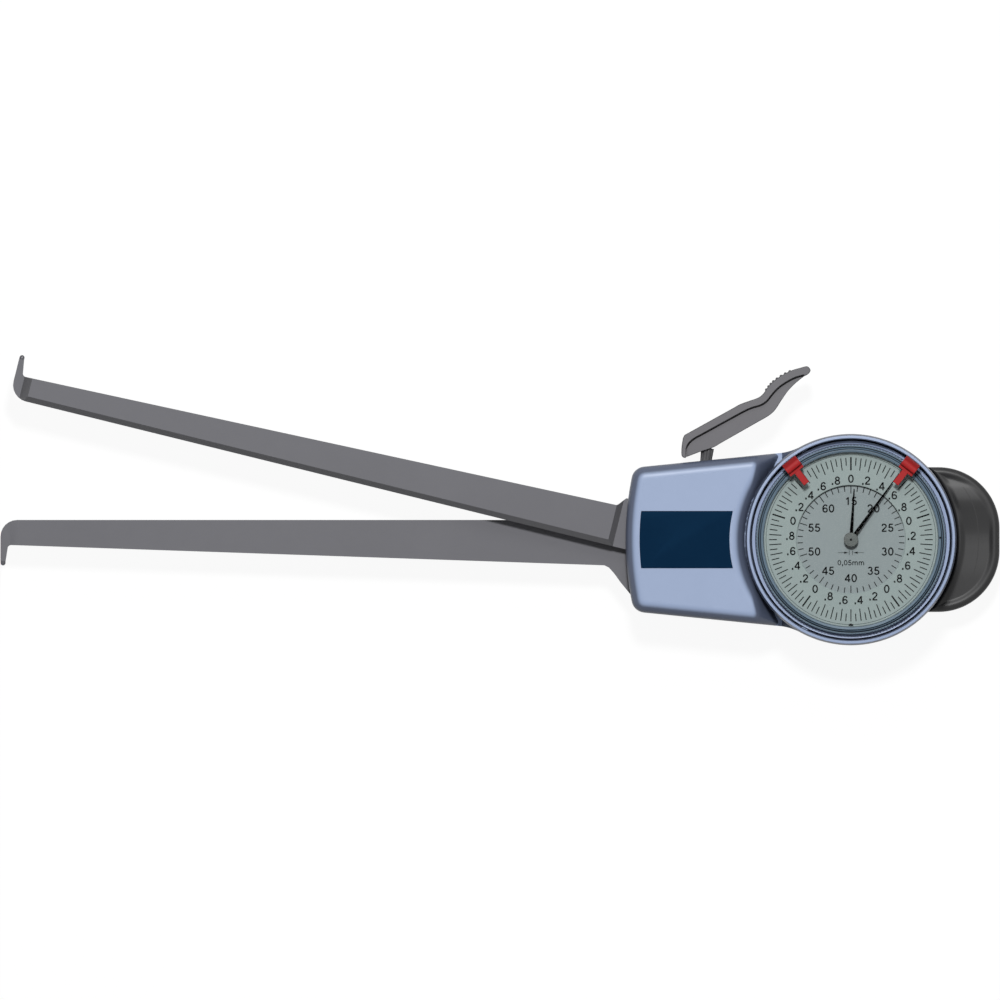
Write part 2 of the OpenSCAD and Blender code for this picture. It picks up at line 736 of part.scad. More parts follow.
module fixed_arm() {
    color("#6f6e73") translate([-pivot_x, 0, fixed_face_z]) rotate(-fixed_angle) mirror([1, 0, 0])
        difference() {
            intersection() {
                linear_extrude(fixed_bar_t) fixed_arm_outline();
                rotate([90, 0, 0]) translate([0, 0, -mouth_reach * 2]) linear_extrude(mouth_reach * 4)
                    polygon([[0, 0],
                             [fixed_reach + over * 2, 0],
                             [fixed_reach + over * 2, hook_t],
                             [fixed_reach - hook_root_w, hook_t],
                             [fixed_reach - hook_root_w - hook_slope, fixed_bar_t],
                             [bar_from + bar_slope, fixed_bar_t],
                             [bar_from, shank_t],
                             [0, shank_t]]);
            }
            translate([0, 0, fixed_bar_t]) mirror([0, 0, 1])
                back_bevel(fixed_back, bar_from - fixed_bar_t, fixed_reach, 0);
            for (p = arm_screw_at)
                translate([p[0], p[1], 0]) flush_hole(arm_screw, shank_t + over, seat);
            translate([fixed_reach, fixed_tip_h - fixed_back + hook_h - contact_seat, hook_t / 2])
                rotate([-90, 0, 0]) cylinder(r = contact_seat_r + seat, h = contact_seat + over);
        }
}

module fixed_arm_screws() {
    color("#b9bbbf") for (p = arm_screw_at)
        translate([on_fixed_arm(p)[0], on_fixed_arm(p)[1], fixed_face_z])
            flush_screw(arm_screw, arm_screw_len);
}

// A contact: a pin set in the hook, with a ball that touches the work
contact_seat = 2.2;
contact_seat_r = 0.5;
module contact(length) {
    rotate([-90, 0, 0]) {
        translate([0, 0, -contact_seat]) cylinder(r = contact_seat_r, h = contact_seat + seat);
        cylinder(r = contact_r, h = length - contact_r);
        translate([0, 0, length - contact_r]) sphere(r = contact_r);
    }
}

module moving_contact() {
    color("#4a4a4e") translate([-pivot_x, 0, moving_face_z]) rotate(180)
        translate([moving_reach, moving_tip_h - moving_back + hook_h, -hook_t * 3 / 4])
            contact(contact_h);
}

module fixed_contact() {
    color("#4a4a4e") translate([-pivot_x, 0, fixed_face_z]) rotate(-fixed_angle) mirror([1, 0, 0])
        translate([fixed_reach, fixed_tip_h - fixed_back + hook_h, hook_t / 2]) contact(contact_h);
}

// The hub that joins the moving arm, the stem and the sector, and runs on the shaft
bush_r = 4;
bush_stand = 0.1;
hub_screw_at = 5.5;
hub_screw_angles = [30, 150, 270];
hub_screw_deep = 3;
module arm_hub() {
    color("#8a8a8e") translate([-pivot_x, 0, moving_face_z]) difference() {
        cylinder(r = arm_hub_r, h = hub_h);
        translate([0, 0, -over]) cylinder(r = bush_r + seat, h = hub_h + 2 * over);
        for (a = hub_screw_angles)
            rotate(a) translate([hub_screw_at, 0, -over])
                cylinder(r = small_screw[0] + seat, h = hub_h + 2 * over);
        translate([0, 0, hub_h / 2]) rotate([-90, 0, -stem_lean]) translate([0, 0, stem_from])
            cylinder(r = stem_r + seat, h = arm_hub_r);
    }
}

module hub_screws() {
    color("#b9bbbf") translate([-pivot_x, 0, sector_z + sector_t]) for (a = hub_screw_angles)
        rotate(a) translate([hub_screw_at, 0, 0])
            cap_screw(small_screw, sector_t + hub_h + hub_screw_deep - seat);
}

module pivot_bush() {
    color("#b5893f") translate([-pivot_x, 0, moving_back_z - bush_stand]) difference() {
        cylinder(r = bush_r, h = moving_arm_t + hub_h + sector_t + 2 * bush_stand);
        translate([0, 0, -over])
            cylinder(r = pivot_r + run, h = moving_arm_t + hub_h + sector_t + 2 * (bush_stand + over));
    }
}

module pivot_shaft() {
    color("#c3c5c9") translate([-pivot_x, 0, bridge_z])
        cylinder(r = pivot_r, h = pivot_boss_z + pivot_seat_deep - bridge_z - seat);
}

module pivot_washer() {
    color("#c3c5c9") translate([-pivot_x, 0, bridge_z + bridge_t]) difference() {
        cylinder(r = bush_r + gap, h = moving_back_z - bush_stand - run - bridge_z - bridge_t);
        translate([0, 0, -over]) cylinder(r = pivot_r + seat, h = moving_arm_t);
    }
}

// The bridge carries the shaft's rear end between two bosses, and holds the arm's stop
bridge_w = 3.6;
// The moving arm's slanted lower edge, from the mouth to the hub, in the casing's plane
root_edge_from = pivot - [moving_root_x - flare_len / 4, moving_root_h - moving_back + moving_flare_h];
root_edge_to = pivot - [0, plate_r];
root_edge_way = (root_edge_to - root_edge_from) / norm(root_edge_to - root_edge_from);
stop_at = root_edge_from + stop_along * (root_edge_to - root_edge_from)
    + (stop_r + run) * [root_edge_way[1], -root_edge_way[0]];

module bridge_link(p) {
    translate(pivot) rotate(atan2(p[1], p[0] + pivot_x)) translate([0, -bridge_w / 2])
        square([norm(p - pivot), bridge_w]);
}

module pivot_bridge() {
    color("#9a9ca1") translate([0, 0, bridge_z]) difference() {
        linear_extrude(bridge_t) {
            for (p = [bridge_upper, bridge_lower, stop_at]) {
                bridge_link(p);
                translate(p) circle(r = bridge_boss_r);
            }
            translate(pivot) circle(r = arm_hub_r);
        }
        translate([-pivot_x, 0, -over]) cylinder(r = pivot_r + seat, h = bridge_t + 2 * over);
        for (p = [bridge_upper, bridge_lower])
            translate([p[0], p[1], -over])
                cylinder(r = bridge_screw[0] + seat, h = bridge_t + 2 * over);
        translate([stop_at[0], stop_at[1], -over])
            cylinder(r = stop_r + seat, h = bridge_t + 2 * over);
    }
}

module bridge_screws() {
    color("#b9bbbf") for (p = [bridge_upper, bridge_lower])
        translate([p[0], p[1], bridge_z]) mirror([0, 0, 1])
            cap_screw(bridge_screw, bridge_t + bridge_screw_deep);
}

module stop_pin() {
    color("#c3c5c9") translate([stop_at[0], stop_at[1], bridge_z])
        cylinder(r = stop_r, h = moving_face_z - gap - bridge_z);
}

// The return spring pulls the moving arm's ear towards a pin under the casing's roof
spring_turns = 6;
spring_r = 1.7;
spring_wire_r = 0.3;
spring_ring_sides = 6;
spring_turn_steps = 12;
spring_end = 3.4;
spring_z = moving_face_z + spring_r + spring_wire_r + gap;
spring_ear = pivot + polar(ear_reach, ear_angle + 180);
spring_hook_r = spring_pin_r + spring_wire_r + seat;
spring_span = norm(spring_ear - spring_anchor);
spring_turn = atan2(spring_ear[1] - spring_anchor[1], spring_ear[0] - spring_anchor[0]);
spring_coil = spring_span - 2 * spring_end;

// The spring's route from the anchor's hook along the coil to the ear's hook
spring_route = concat(
    [for (k = [0 : 6]) [spring_hook_r * cos(270 - 30 * k), spring_hook_r * sin(270 - 30 * k), 0]],
    [for (k = [0 : spring_turns * spring_turn_steps])
        let (a = 360 * k / spring_turn_steps)
        [spring_end + spring_coil * k / (spring_turns * spring_turn_steps),
         spring_r * cos(a), spring_r * sin(a)]],
    [for (k = [0 : 6])
        [spring_span + spring_hook_r * cos(90 - 30 * k), spring_hook_r * sin(90 - 30 * k), 0]]);
spring_gap = spring_coil / spring_turns - 2 * spring_wire_r;
echo(spring_gap = spring_gap);

function unit(v) = v / norm(v);
// Tangents along a route, and normals carried along it without twist
function tangents(route) =
    [for (i = [0 : len(route) - 1])
        unit(route[min(i + 1, len(route) - 1)] - route[max(i - 1, 0)])];
function carried(ways, normal, i = 0) =
    i == len(ways) ? [] :
    let (n = unit(normal - (normal * ways[i]) * ways[i])) concat([n], carried(ways, n, i + 1));

module tube(route, r, sides) {
    ways = tangents(route);
    normals = carried(ways, [0, 0, 1]);
    loft([for (i = [0 : len(route) - 1])
        [for (k = [0 : sides - 1])
            let (a = 360 * k / sides)
            route[i] + r * (cos(a) * normals[i] + sin(a) * cross(ways[i], normals[i]))]]);
}

module return_spring() {
    color("#c3c5c9") translate([spring_anchor[0], spring_anchor[1], spring_z]) rotate(spring_turn)
        tube(spring_route, spring_wire_r, spring_ring_sides);
}

// Each pin ends one pin's radius past the spring's hook
module spring_anchor_pin() {
    color("#c3c5c9") translate([spring_anchor[0], spring_anchor[1], spring_z - spring_pin_r])
        cylinder(r = spring_pin_r, h = ceiling_z + spring_anchor_deep - spring_z + spring_pin_r);
}

module spring_arm_pin() {
    color("#c3c5c9") translate([spring_ear[0], spring_ear[1], moving_back_z])
        cylinder(r = spring_pin_r, h = spring_z + spring_pin_r - moving_back_z);
}

// The module of the gear teeth follows the distance that the gears bridge
module_share = 0.00625;
gear_module = pivot_x * module_share;
// Teeth: trapezoids, as shares of the module and of the pitch at the root and at the tip
tooth_tip_share = 0.75;
tooth_root_share = 1.05;
tooth_width_shares = [0.7, 0.22];
// The points of teeth numbered from and to, with a tooth's centre at the angle phase
function tooth_points(teeth, phase, from, to) =
    let (pitch = 360 / teeth, r = gear_module * teeth / 2,
         low = r - gear_module * tooth_root_share, high = r + gear_module * tooth_tip_share,
         root = tooth_width_shares[0] / 2, tip = tooth_width_shares[1] / 2)
    [for (i = [from : to], s = [[-root, low], [-tip, high], [tip, high], [root, low]])
        polar(s[1], phase + pitch * (i + s[0]))];
// The phase of a wheel that meshes with one of known phase, which lies the other way from towards
function meshed(phase, teeth, towards, other) =
    towards + 180 + (teeth * (towards - phase) + 180) / other;
function pitch_r(teeth) = gear_module * teeth / 2;

// The movement's arbors, seen from the front
mesh_angle = 10;
second_lean = -60;
first_at = pivot + polar(pitch_r(sector_teeth + first_pinion_teeth), mesh_angle);
second_at = circles_meet(first_at, pitch_r(first_wheel_teeth + second_pinion_teeth),
                         [0, 0], pitch_r(second_wheel_teeth + centre_pinion_teeth));
take_up_at = polar(pitch_r(second_wheel_teeth + centre_pinion_teeth), second_lean);
function angle_to(p, q) = atan2(q[1] - p[1], q[0] - p[0]);
first_to_second = angle_to(first_at, second_at);
second_to_centre = angle_to(second_at, [0, 0]);
first_pinion_phase = meshed(mesh_angle, sector_teeth, mesh_angle, first_pinion_teeth);
second_pinion_phase = meshed(first_to_second, first_wheel_teeth, first_to_second, second_pinion_teeth);
centre_phase = meshed(second_to_centre, second_wheel_teeth, second_to_centre, centre_pinion_teeth);
take_up_phase = meshed(centre_phase, centre_pinion_teeth, second_lean, second_wheel_teeth);
pipe_phase = meshed(second_lean + 180, pipe_pinion_teeth, second_lean + 180, pipe_wheel_teeth);

// The movement's levels
wheel_t = 0.8;
leaf_extra = 0.2;
first_wheel_drop = 1.3;
first_wheel_z = sector_z - first_wheel_drop - wheel_t;
second_wheel_drop = 2.9;
second_wheel_z = first_wheel_z - second_wheel_drop;
pipe_wheel_gap = 0.4;
pipe_wheel_z = front_plate_z - pipe_wheel_gap - wheel_t;
hairspring_drop = 1.6;
hairspring_t = 0.5;
hairspring_z = second_wheel_z - hairspring_drop;
back_plate_gap = 0.8;
back_plate_z = hairspring_z - back_plate_gap - plate_t;
back_plate_edge = 3;
back_plate_r = bore_r - back_plate_edge;
front_plate_edge = 5;
front_plate_r = bore_r - front_plate_edge;
pillar_r = 1.8;
pillar_edge = 1.2;
pillar_at = front_plate_r - pillar_edge;
pillar_angles = [60, 345, 235];
pivot_pin_r = 0.4;
end_shake = 0.06;
collet_r = 1.2;
collet_h = 0.7;
arbors_at = [first_at, second_at, [0, 0], take_up_at];

// An arbor's body between the plates, with a thin pivot at each end
module arbor(from_z, to_z) {
    translate([0, 0, back_plate_z]) cylinder(r = pivot_pin_r, h = plate_t + end_shake + seat);
    translate([0, 0, from_z]) cylinder(r = arbor_r, h = to_z - from_z);
}

module short_arbor() {
    arbor(back_plate_z + plate_t + end_shake, front_plate_z - end_shake);
    translate([0, 0, front_plate_z - end_shake - seat])
        cylinder(r = pivot_pin_r, h = plate_t + end_shake + seat);
}

module pinion(teeth, phase, z, h) {
    translate([0, 0, z]) linear_extrude(h)
        polygon(tooth_points(teeth, phase, 0, teeth - 1));
}

// A wheel with windows between its spokes, and a collet on its arbor
spokes = 4;
spoke_w = 1.2;
rim_w = 1.3;
module wheel(teeth, phase, z, hub) {
    rim = pitch_r(teeth) - rim_w;
    translate([0, 0, z]) difference() {
        linear_extrude(wheel_t) difference() {
            polygon(tooth_points(teeth, phase, 0, teeth - 1));
            for (k = [0 : spokes - 1]) rotate(phase + 360 * k / spokes)
                wheel_window(hub + spoke_w, rim);
        }
        translate([0, 0, -over]) cylinder(r = arbor_r + seat, h = wheel_t + 2 * over);
    }
}

// One window: a quarter ring less half a spoke at each side
module wheel_window(low, high) {
    side = spoke_w / 2;
    polygon(concat(
        arc_points([0, 0], high, asin(side / high), 90 - asin(side / high), corner_steps),
        arc_points([0, 0], low, 90 - asin(side / low), asin(side / low), corner_steps)));
}

// The sector: a fan with teeth along its rim, on top of the hub
sector_first = -2;
sector_last = 10;
sector_rim_w = 2.6;
sector_spoke_w = 2.4;
sector_pitch = 360 / sector_teeth;
module gear_sector() {
    low = mesh_angle + sector_pitch * (sector_first - 1 / 2);
    high = mesh_angle + sector_pitch * (sector_last + 1 / 2);
    rim = pitch_r(sector_teeth) - sector_rim_w;
    side = asin(sector_spoke_w / rim);
    color("#b5893f") translate([-pivot_x, 0, sector_z]) difference() {
        linear_extrude(sector_t) difference() {
            union() {
                circle(r = arm_hub_r);
                polygon(concat(
                    [[0, 0]], tooth_points(sector_teeth, mesh_angle, sector_first, sector_last)));
                rotate((low + high) / 2) translate([0, -arm_hub_r * 2 / 3])
                    square([rim / 2, arm_hub_r * 4 / 3]);
            }
            polygon(concat(
                arc_points([0, 0], rim, low + side, high - side, corner_steps),
                [polar(rim / 2 + sector_spoke_w, high - 2 * side),
                 polar(rim / 2 + sector_spoke_w, low + 2 * side)]));
        }
        translate([0, 0, -over]) cylinder(r = bush_r + seat, h = sector_t + 2 * over);
        for (a = hub_screw_angles)
            rotate(a) translate([hub_screw_at, 0, -over])
                cylinder(r = small_screw[0] + seat, h = sector_t + 2 * over);
    }
}

// The stem and what goes on it, drawn from the pivot along the stem
stem_from = 4.8;
stem_in_lever = 7.2;
stem_to = lever_heel_y + stem_in_lever;
sleeve_below = 2.9;
sleeve_from = lever_heel_y - sleeve_below;
sleeve_above = 2.6;
sleeve_to = lever_heel_y + sleeve_above;
sleeve_waist = 0.3;
shutter_below = 4.3;
shutter_r = lever_heel_y - shutter_below;
shutter_t = 0.8;
shutter_half_angle = 21;
shutter_edge = 1.2;
module along_stem() {
    translate([-pivot_x, 0, stem_z]) rotate([-90, 0, -stem_lean]) children();
}

module lever_stem() {
    color("#8a8a8e") along_stem()
        translate([0, 0, stem_from]) cylinder(r = stem_r, h = stem_to - stem_from);
}

module stem_sleeve() {
    h = (sleeve_to - sleeve_from) / 3;
    color("#2a2a2c") along_stem() difference() {
        translate([0, 0, sleeve_from]) {
            cylinder(r = sleeve_r, h = h);
            cylinder(r = sleeve_r - sleeve_waist, h = 3 * h);
            translate([0, 0, 2 * h]) cylinder(r = sleeve_r, h = h);
        }
        translate([0, 0, sleeve_from - over])
            cylinder(r = stem_r + seat, h = sleeve_to - sleeve_from + 2 * over);
    }
}

// A curved shutter that rides on the stem and closes the slot from inside
module slot_shutter() {
    half_h = slot_half + slot_seal_t + shutter_edge;
    color("#2a2a2c") difference() {
        translate([-pivot_x, 0, stem_z]) rotate(90 - stem_lean - shutter_half_angle)
            translate([0, 0, -half_h]) linear_extrude(2 * half_h) polygon(concat(
                arc_points([0, 0], shutter_r + shutter_t, 0, 2 * shutter_half_angle, 3 * corner_steps),
                arc_points([0, 0], shutter_r, 2 * shutter_half_angle, 0, 3 * corner_steps)));
        along_stem() translate([0, 0, shutter_r - over])
            cylinder(r = stem_r + seat, h = shutter_t + 2 * over);
    }
}

// The lever's outline as shares of its length and height: the thumb side from the heel to the
// tip, the nose, the under side back to the heel, and the line between the flange and the web
lever_top_shares = [
    [0.022, 0.265], [0.454, 0.595], [0.521, 0.629], [0.591, 0.663], [0.631, 0.704],
    [0.671, 0.78], [0.713, 0.842], [0.781, 0.907], [0.858, 0.959], [0.925, 0.986]
];
lever_nose_shares = [[0.975, 1], [1, 0.959], [0.983, 0.918]];
lever_under_shares = [
    [0.95, 0.893], [0.883, 0.818], [0.823, 0.732], [0.773, 0.632], [0.723, 0.529],
    [0.671, 0.467], [0.589, 0.402], [0.244, 0.131], [0.142, 0.085]
];
lever_heel_shares = [[0.02, 0.02], [0, 0.045], [0, 0.137], [0.01, 0.23]];
lever_seam_shares = [
    [0.034, 0.02], [0.034, 0.113], [0.06, 0.194], [0.101, 0.234], [0.479, 0.519], [0.546, 0.56],
    [0.613, 0.588], [0.66, 0.632], [0.706, 0.71], [0.756, 0.78], [0.823, 0.842], [0.883, 0.883],
    [0.95, 0.909]
];
lever_size = [lever_len, lever_h];
rib_r = 0.35;
rib_count = 8;
first_rib_share = 0.55;

module lever_web() {
    polygon(concat(
        scaled_points(lever_top_shares, lever_size), scaled_points(lever_nose_shares, lever_size),
        scaled_points(lever_under_shares, lever_size), scaled_points(lever_heel_shares, lever_size)));
}

module lever_flange() {
    polygon(concat(
        scaled_points(lever_top_shares, lever_size), scaled_points(lever_nose_shares, lever_size),
        reversed(scaled_points(lever_seam_shares, lever_size)),
        scaled_points(lever_heel_shares, lever_size)));
}

module release_lever() {
    top = smooth(scaled_points(lever_top_shares, lever_size), 4);
    color("#6f6e73") difference() {
        translate([-pivot_x - lever_heel_x, lever_heel_y, stem_z]) {
            translate([0, 0, -lever_web_w / 2]) linear_extrude(lever_web_w) lever_web();
            translate([0, 0, -lever_flange_w / 2]) linear_extrude(lever_flange_w) lever_flange();
            for (k = [0 : rib_count - 1])
                let (p = top[floor(first_rib_share * len(top)) + 2 * k])
                translate([p[0], p[1], -lever_web_w / 2])
                    cylinder(r = rib_r, h = lever_web_w, $fn = 16);
        }
        along_stem() translate([0, 0, sleeve_to])
            cylinder(r = stem_r + seat, h = stem_to - sleeve_to + seat);
        along_stem() translate([0, 0, sleeve_from])
            cylinder(r = sleeve_r + seat, h = sleeve_to - sleeve_from + seat);
    }
}

// The movement's plates, pillars and screws
module movement_back_plate() {
    color("#b5893f") difference() {
        translate([0, 0, back_plate_z]) cylinder(r = back_plate_r, h = plate_t);
        for (p = arbors_at) translate([p[0], p[1], back_plate_z - over])
            cylinder(r = pivot_pin_r + run, h = plate_t + 2 * over);
        for (a = pillar_angles) rotate(a) translate([pillar_at, 0, back_plate_z - over])
            cylinder(r = tiny_screw[0] + seat, h = plate_t + 2 * over);
        translate([hairspring_stud_at[0], hairspring_stud_at[1], back_plate_z - over])
            cylinder(r = stud_r + seat, h = plate_t + 2 * over);
    }
}

module movement_front_plate() {
    color("#b5893f") difference() {
        translate([0, 0, front_plate_z]) {
            cylinder(r = front_plate_r, h = plate_t);
            for (a = ear_angles) rotate(a) translate([0, -ear_w / 2 + gap, 0])
                cube([bore_r - 2 * gap, ear_w - 2 * gap, plate_t]);
        }
        for (p = [first_at, second_at, take_up_at]) translate([p[0], p[1], front_plate_z - over])
            cylinder(r = pivot_pin_r + run, h = plate_t + 2 * over);
        translate([0, 0, front_plate_z - over]) cylinder(r = pipe_r + run, h = plate_t + 2 * over);
        for (a = pillar_angles) rotate(a) translate([pillar_at, 0, front_plate_z - over])
            cylinder(r = tiny_screw[0] + seat, h = plate_t + 2 * over);
        for (a = ear_angles) rotate(a) translate([ear_at, 0, front_plate_z - over])
            cylinder(r = small_screw[0] + seat, h = plate_t + 2 * over);
    }
}

pillar_screw_deep = 2;
module plate_pillars() {
    bottom = back_plate_z + plate_t;
    color("#b5893f") for (a = pillar_angles) rotate(a) translate([pillar_at, 0, bottom]) difference() {
        cylinder(r = pillar_r, h = front_plate_z - bottom);
        translate([0, 0, -over]) cylinder(r = tiny_screw[0] + seat, h = pillar_screw_deep + over + seat);
        translate([0, 0, front_plate_z - bottom - pillar_screw_deep - seat])
            cylinder(r = tiny_screw[0] + seat, h = pillar_screw_deep + over + seat);
    }
}

module plate_screws() {
    color("#b9bbbf") for (a = pillar_angles) rotate(a) {
        translate([pillar_at, 0, front_plate_z + plate_t])
            cap_screw(tiny_screw, plate_t + pillar_screw_deep);
        translate([pillar_at, 0, back_plate_z]) mirror([0, 0, 1])
            cap_screw(tiny_screw, plate_t + pillar_screw_deep);
    }
}

module movement_screws() {
    color("#b9bbbf") for (a = ear_angles) rotate(a) translate([ear_at, 0, front_plate_z + plate_t])
        cap_screw(small_screw, plate_t + lug_h - gap);
}

module first_arbor() {
    color("#c3c5c9") translate([first_at[0], first_at[1], 0]) {
        short_arbor();
        pinion(first_pinion_teeth, first_pinion_phase, sector_z - leaf_extra, sector_t + 2 * leaf_extra);
    }
}

module first_wheel() {
    color("#c9a24e") translate([first_at[0], first_at[1], 0])
        wheel(first_wheel_teeth, first_to_second, first_wheel_z, collet_r);
}

module second_arbor() {
    color("#c3c5c9") translate([second_at[0], second_at[1], 0]) {
        short_arbor();
        pinion(second_pinion_teeth, second_pinion_phase, first_wheel_z - leaf_extra,
               wheel_t + 2 * leaf_extra);
    }
}

module second_wheel() {
    color("#c9a24e") translate([second_at[0], second_at[1], 0])
        wheel(second_wheel_teeth, second_to_centre, second_wheel_z, collet_r);
}

// The centre arbor carries the long pointer through the short pointer's pipe
pipe_r = 1.1;
pipe_len_over = 0.1;
module centre_arbor() {
    color("#c3c5c9") {
        arbor(back_plate_z + plate_t + end_shake, long_pointer_z + pointer_t);
        pinion(centre_pinion_teeth, centre_phase, second_wheel_z - leaf_extra, wheel_t + 2 * leaf_extra);
        translate([0, 0, pipe_wheel_z - run - collet_h]) cylinder(r = collet_r, h = collet_h);
    }
}

module pipe_wheel() {
    color("#c9a24e") difference() {
        union() {
            wheel(pipe_wheel_teeth, pipe_phase, pipe_wheel_z, pipe_r);
            translate([0, 0, pipe_wheel_z])
                cylinder(r = pipe_r, h = short_pointer_z + pointer_t + pipe_len_over - pipe_wheel_z);
        }
        translate([0, 0, pipe_wheel_z - over])
            cylinder(r = arbor_r + run, h = short_pointer_z - pipe_wheel_z + pointer_t + 2 * over);
    }
}

module take_up_arbor() {
    color("#c3c5c9") translate([take_up_at[0], take_up_at[1], 0]) {
        short_arbor();
        pinion(pipe_pinion_teeth, second_lean + 180, pipe_wheel_z, wheel_t);
        translate([0, 0, hairspring_z]) cylinder(r = collet_r, h = hairspring_t);
    }
}

module take_up_wheel() {
    color("#c9a24e") translate([take_up_at[0], take_up_at[1], 0])
        wheel(second_wheel_teeth, take_up_phase, second_wheel_z, collet_r);
}

// The hairspring: a flat spiral from the take-up arbor's collet to its stud
hairspring_turns = 5;
hairspring_advance = 1;
hairspring_w = 0.16;
hairspring_steps = 20;
hairspring_end = -120;
stud_r = 0.7;
hairspring_low = collet_r + run + hairspring_w / 2;
hairspring_high = hairspring_low + hairspring_turns * hairspring_advance;
hairspring_stud_at = take_up_at
    + rotated([hairspring_high, stud_r + seat], hairspring_end);
module hairspring() {
    last = hairspring_turns * hairspring_steps;
    function spiral(side, k) =
        polar(hairspring_low + side + hairspring_advance * k / hairspring_steps,
              hairspring_end + 360 * k / hairspring_steps);
    color("#4a5a9a") translate([take_up_at[0], take_up_at[1], hairspring_z]) linear_extrude(hairspring_t)
        polygon(concat(
            [for (k = [0 : last]) spiral(hairspring_w / 2, k)],
            [for (k = [last : -1 : 0]) spiral(-hairspring_w / 2, k)]));
}

module hairspring_stud() {
    color("#c3c5c9") translate([hairspring_stud_at[0], hairspring_stud_at[1], back_plate_z])
        cylinder(r = stud_r, h = hairspring_z + hairspring_t - back_plate_z);
}

// The pointers
dial_rise = 17.7;
dial_z = seam_z + dial_rise;
dial_t = 0.6;
dial_step = 0.3;
pointer_gap = 0.5;
pointer_t = 0.35;
short_pointer_z = dial_z + dial_t + pointer_gap;
long_pointer_z = short_pointer_z + pointer_t + pointer_gap;
pointer_hub_r = 1.9;
pointer_root_w = 1;
pointer_tip_w = 0.16;
pointer_cap_r = 2.2;
pointer_cap_h = 0.6;
module pointer(len, at, z, bore) {
    translate([0, 0, z]) difference() {
        rotate(90 - at) linear_extrude(pointer_t) {
            circle(r = pointer_hub_r);
            polygon([[0, -pointer_root_w / 2], [len, -pointer_tip_w / 2],
                     [len, pointer_tip_w / 2], [0, pointer_root_w / 2]]);
        }
        translate([0, 0, -over]) cylinder(r = bore + seat, h = pointer_t + 2 * over);
    }
}

module short_pointer() {
    color("#1a1a1a")
        pointer(dial_inner_r - short_pointer_in, short_pointer_at, short_pointer_z, pipe_r);
}

module long_pointer() {
    color("#1a1a1a") pointer(dial_r - long_pointer_in, long_pointer_at, long_pointer_z, arbor_r);
}

module pointer_cap() {
    color("#7c7f86") translate([0, 0, long_pointer_z + pointer_t]) {
        cylinder(r = pointer_cap_r, h = pointer_cap_h / 2);
        translate([0, 0, pointer_cap_h / 2])
            cylinder(r1 = pointer_cap_r, r2 = pointer_cap_r - pointer_cap_h / 2, h = pointer_cap_h / 2);
    }
}

// The bezel: a skirt that turns in the bore, a fluted edge and a seat for the crystal
bezel_play = 0.08;
skirt_r = bore_r - bezel_play;
skirt_t = 1.8;
skirt_drop = 0.8;
skirt_z = dial_z - skirt_drop;
flute_out = 0.6;
flute_r = skirt_r + flute_out;
flute_top_drop = 0.3;
flute_h = 0.8;
flutes = 180;
flute_deep = 0.25;
flute_top = rim_z - flute_top_drop;
flute_z = flute_top - flute_h;
bezel_rise = 0.7;
bezel_top = rim_z + bezel_rise;
crystal_in = 2.27;
crystal_r = flute_r - crystal_in;
crystal_edge_t = 1.4;
crystal_dome = 0.8;
crystal_z = bezel_top - crystal_edge_t;
crystal_lip = 0.8;
bezel_lip_t = 0.8;
bezel_face_in = 1.7;

// The retainer: a ring that lies half in the bore's groove and half in the skirt's
retainer_rise = 0.5;
retainer_h = 0.5;
retainer_deep = 0.35;
retainer_play = 0.05;
retainer_out = bore_r + retainer_deep;
module retainer_section(low, high, play) {
    translate([low, skirt_z + retainer_rise - play]) square([high - low, retainer_h + 2 * play]);
}

module bezel_retainer() {
    color("#c3c5c9") rotate_extrude()
        retainer_section(skirt_r - retainer_deep, retainer_out, 0);
}

// The seal between the skirt and the bore, above the retainer
bezel_seal_rise = 1.35;
bezel_seal_h = 0.6;
bezel_seal_deep = 0.45;
module bezel_seal_section(clearance) {
    translate([skirt_r - bezel_seal_deep - clearance, skirt_z + bezel_seal_rise - clearance])
        square([bezel_seal_deep + bezel_play / 2 + clearance, bezel_seal_h + 2 * clearance]);
}

module bezel_seal() {
    color("#1c1c1e") rotate_extrude() bezel_seal_section(0);
}

module bezel_ring() {
    inner = skirt_r - skirt_t;
    shoulder = rim_z - rim_chamfer_h + gap;
    body = flute_r - 2 * flute_deep;
    color("#2f5870") {
        difference() {
            rotate_extrude() polygon([
                [inner, skirt_z], [skirt_r, skirt_z], [skirt_r, shoulder],
                [body, shoulder + body - skirt_r], [body, flute_top],
                [flute_r - bezel_face_in, bezel_top], [crystal_r + seat, bezel_top],
                [crystal_r + seat, crystal_z], [crystal_r - crystal_lip, crystal_z],
                [crystal_r - crystal_lip, crystal_z - bezel_lip_t],
                [inner, dial_z + dial_t + seat]
            ]);
            rotate_extrude()
                retainer_section(skirt_r - retainer_deep - retainer_play, bore_r, retainer_play);
            rotate_extrude() bezel_seal_section(seat);
        }
        translate([0, 0, flute_z]) linear_extrude(flute_h) difference() {
            polygon([for (k = [0 : 2 * flutes - 1])
                polar(flute_r - flute_deep * (k % 2), 180 * k / flutes)]);
            circle(r = body - flute_deep);
        }
    }
}

dial_r = skirt_r - skirt_t - gap / 3;
dial_ring_w = 9.97;
dial_inner_r = dial_r - dial_ring_w;
dial_hole_r = pipe_r + gap;
module dial_plate() {
    color("#a3b1b0") translate([0, 0, dial_z]) difference() {
        cylinder(r = dial_r, h = dial_t);
        translate([0, 0, dial_t - dial_step]) cylinder(r = dial_inner_r, h = dial_step + over);
        translate([0, 0, -over]) cylinder(r = dial_hole_r, h = dial_t + 2 * over);
    }
}

carrier_w = 1.45;
module dial_carrier() {
    color("#3a3d42") translate([0, 0, skirt_z]) difference() {
        cylinder(r = dial_r, h = dial_z - skirt_z);
        translate([0, 0, -over]) cylinder(r = dial_r - carrier_w, h = dial_z - skirt_z + 2 * over);
    }
}

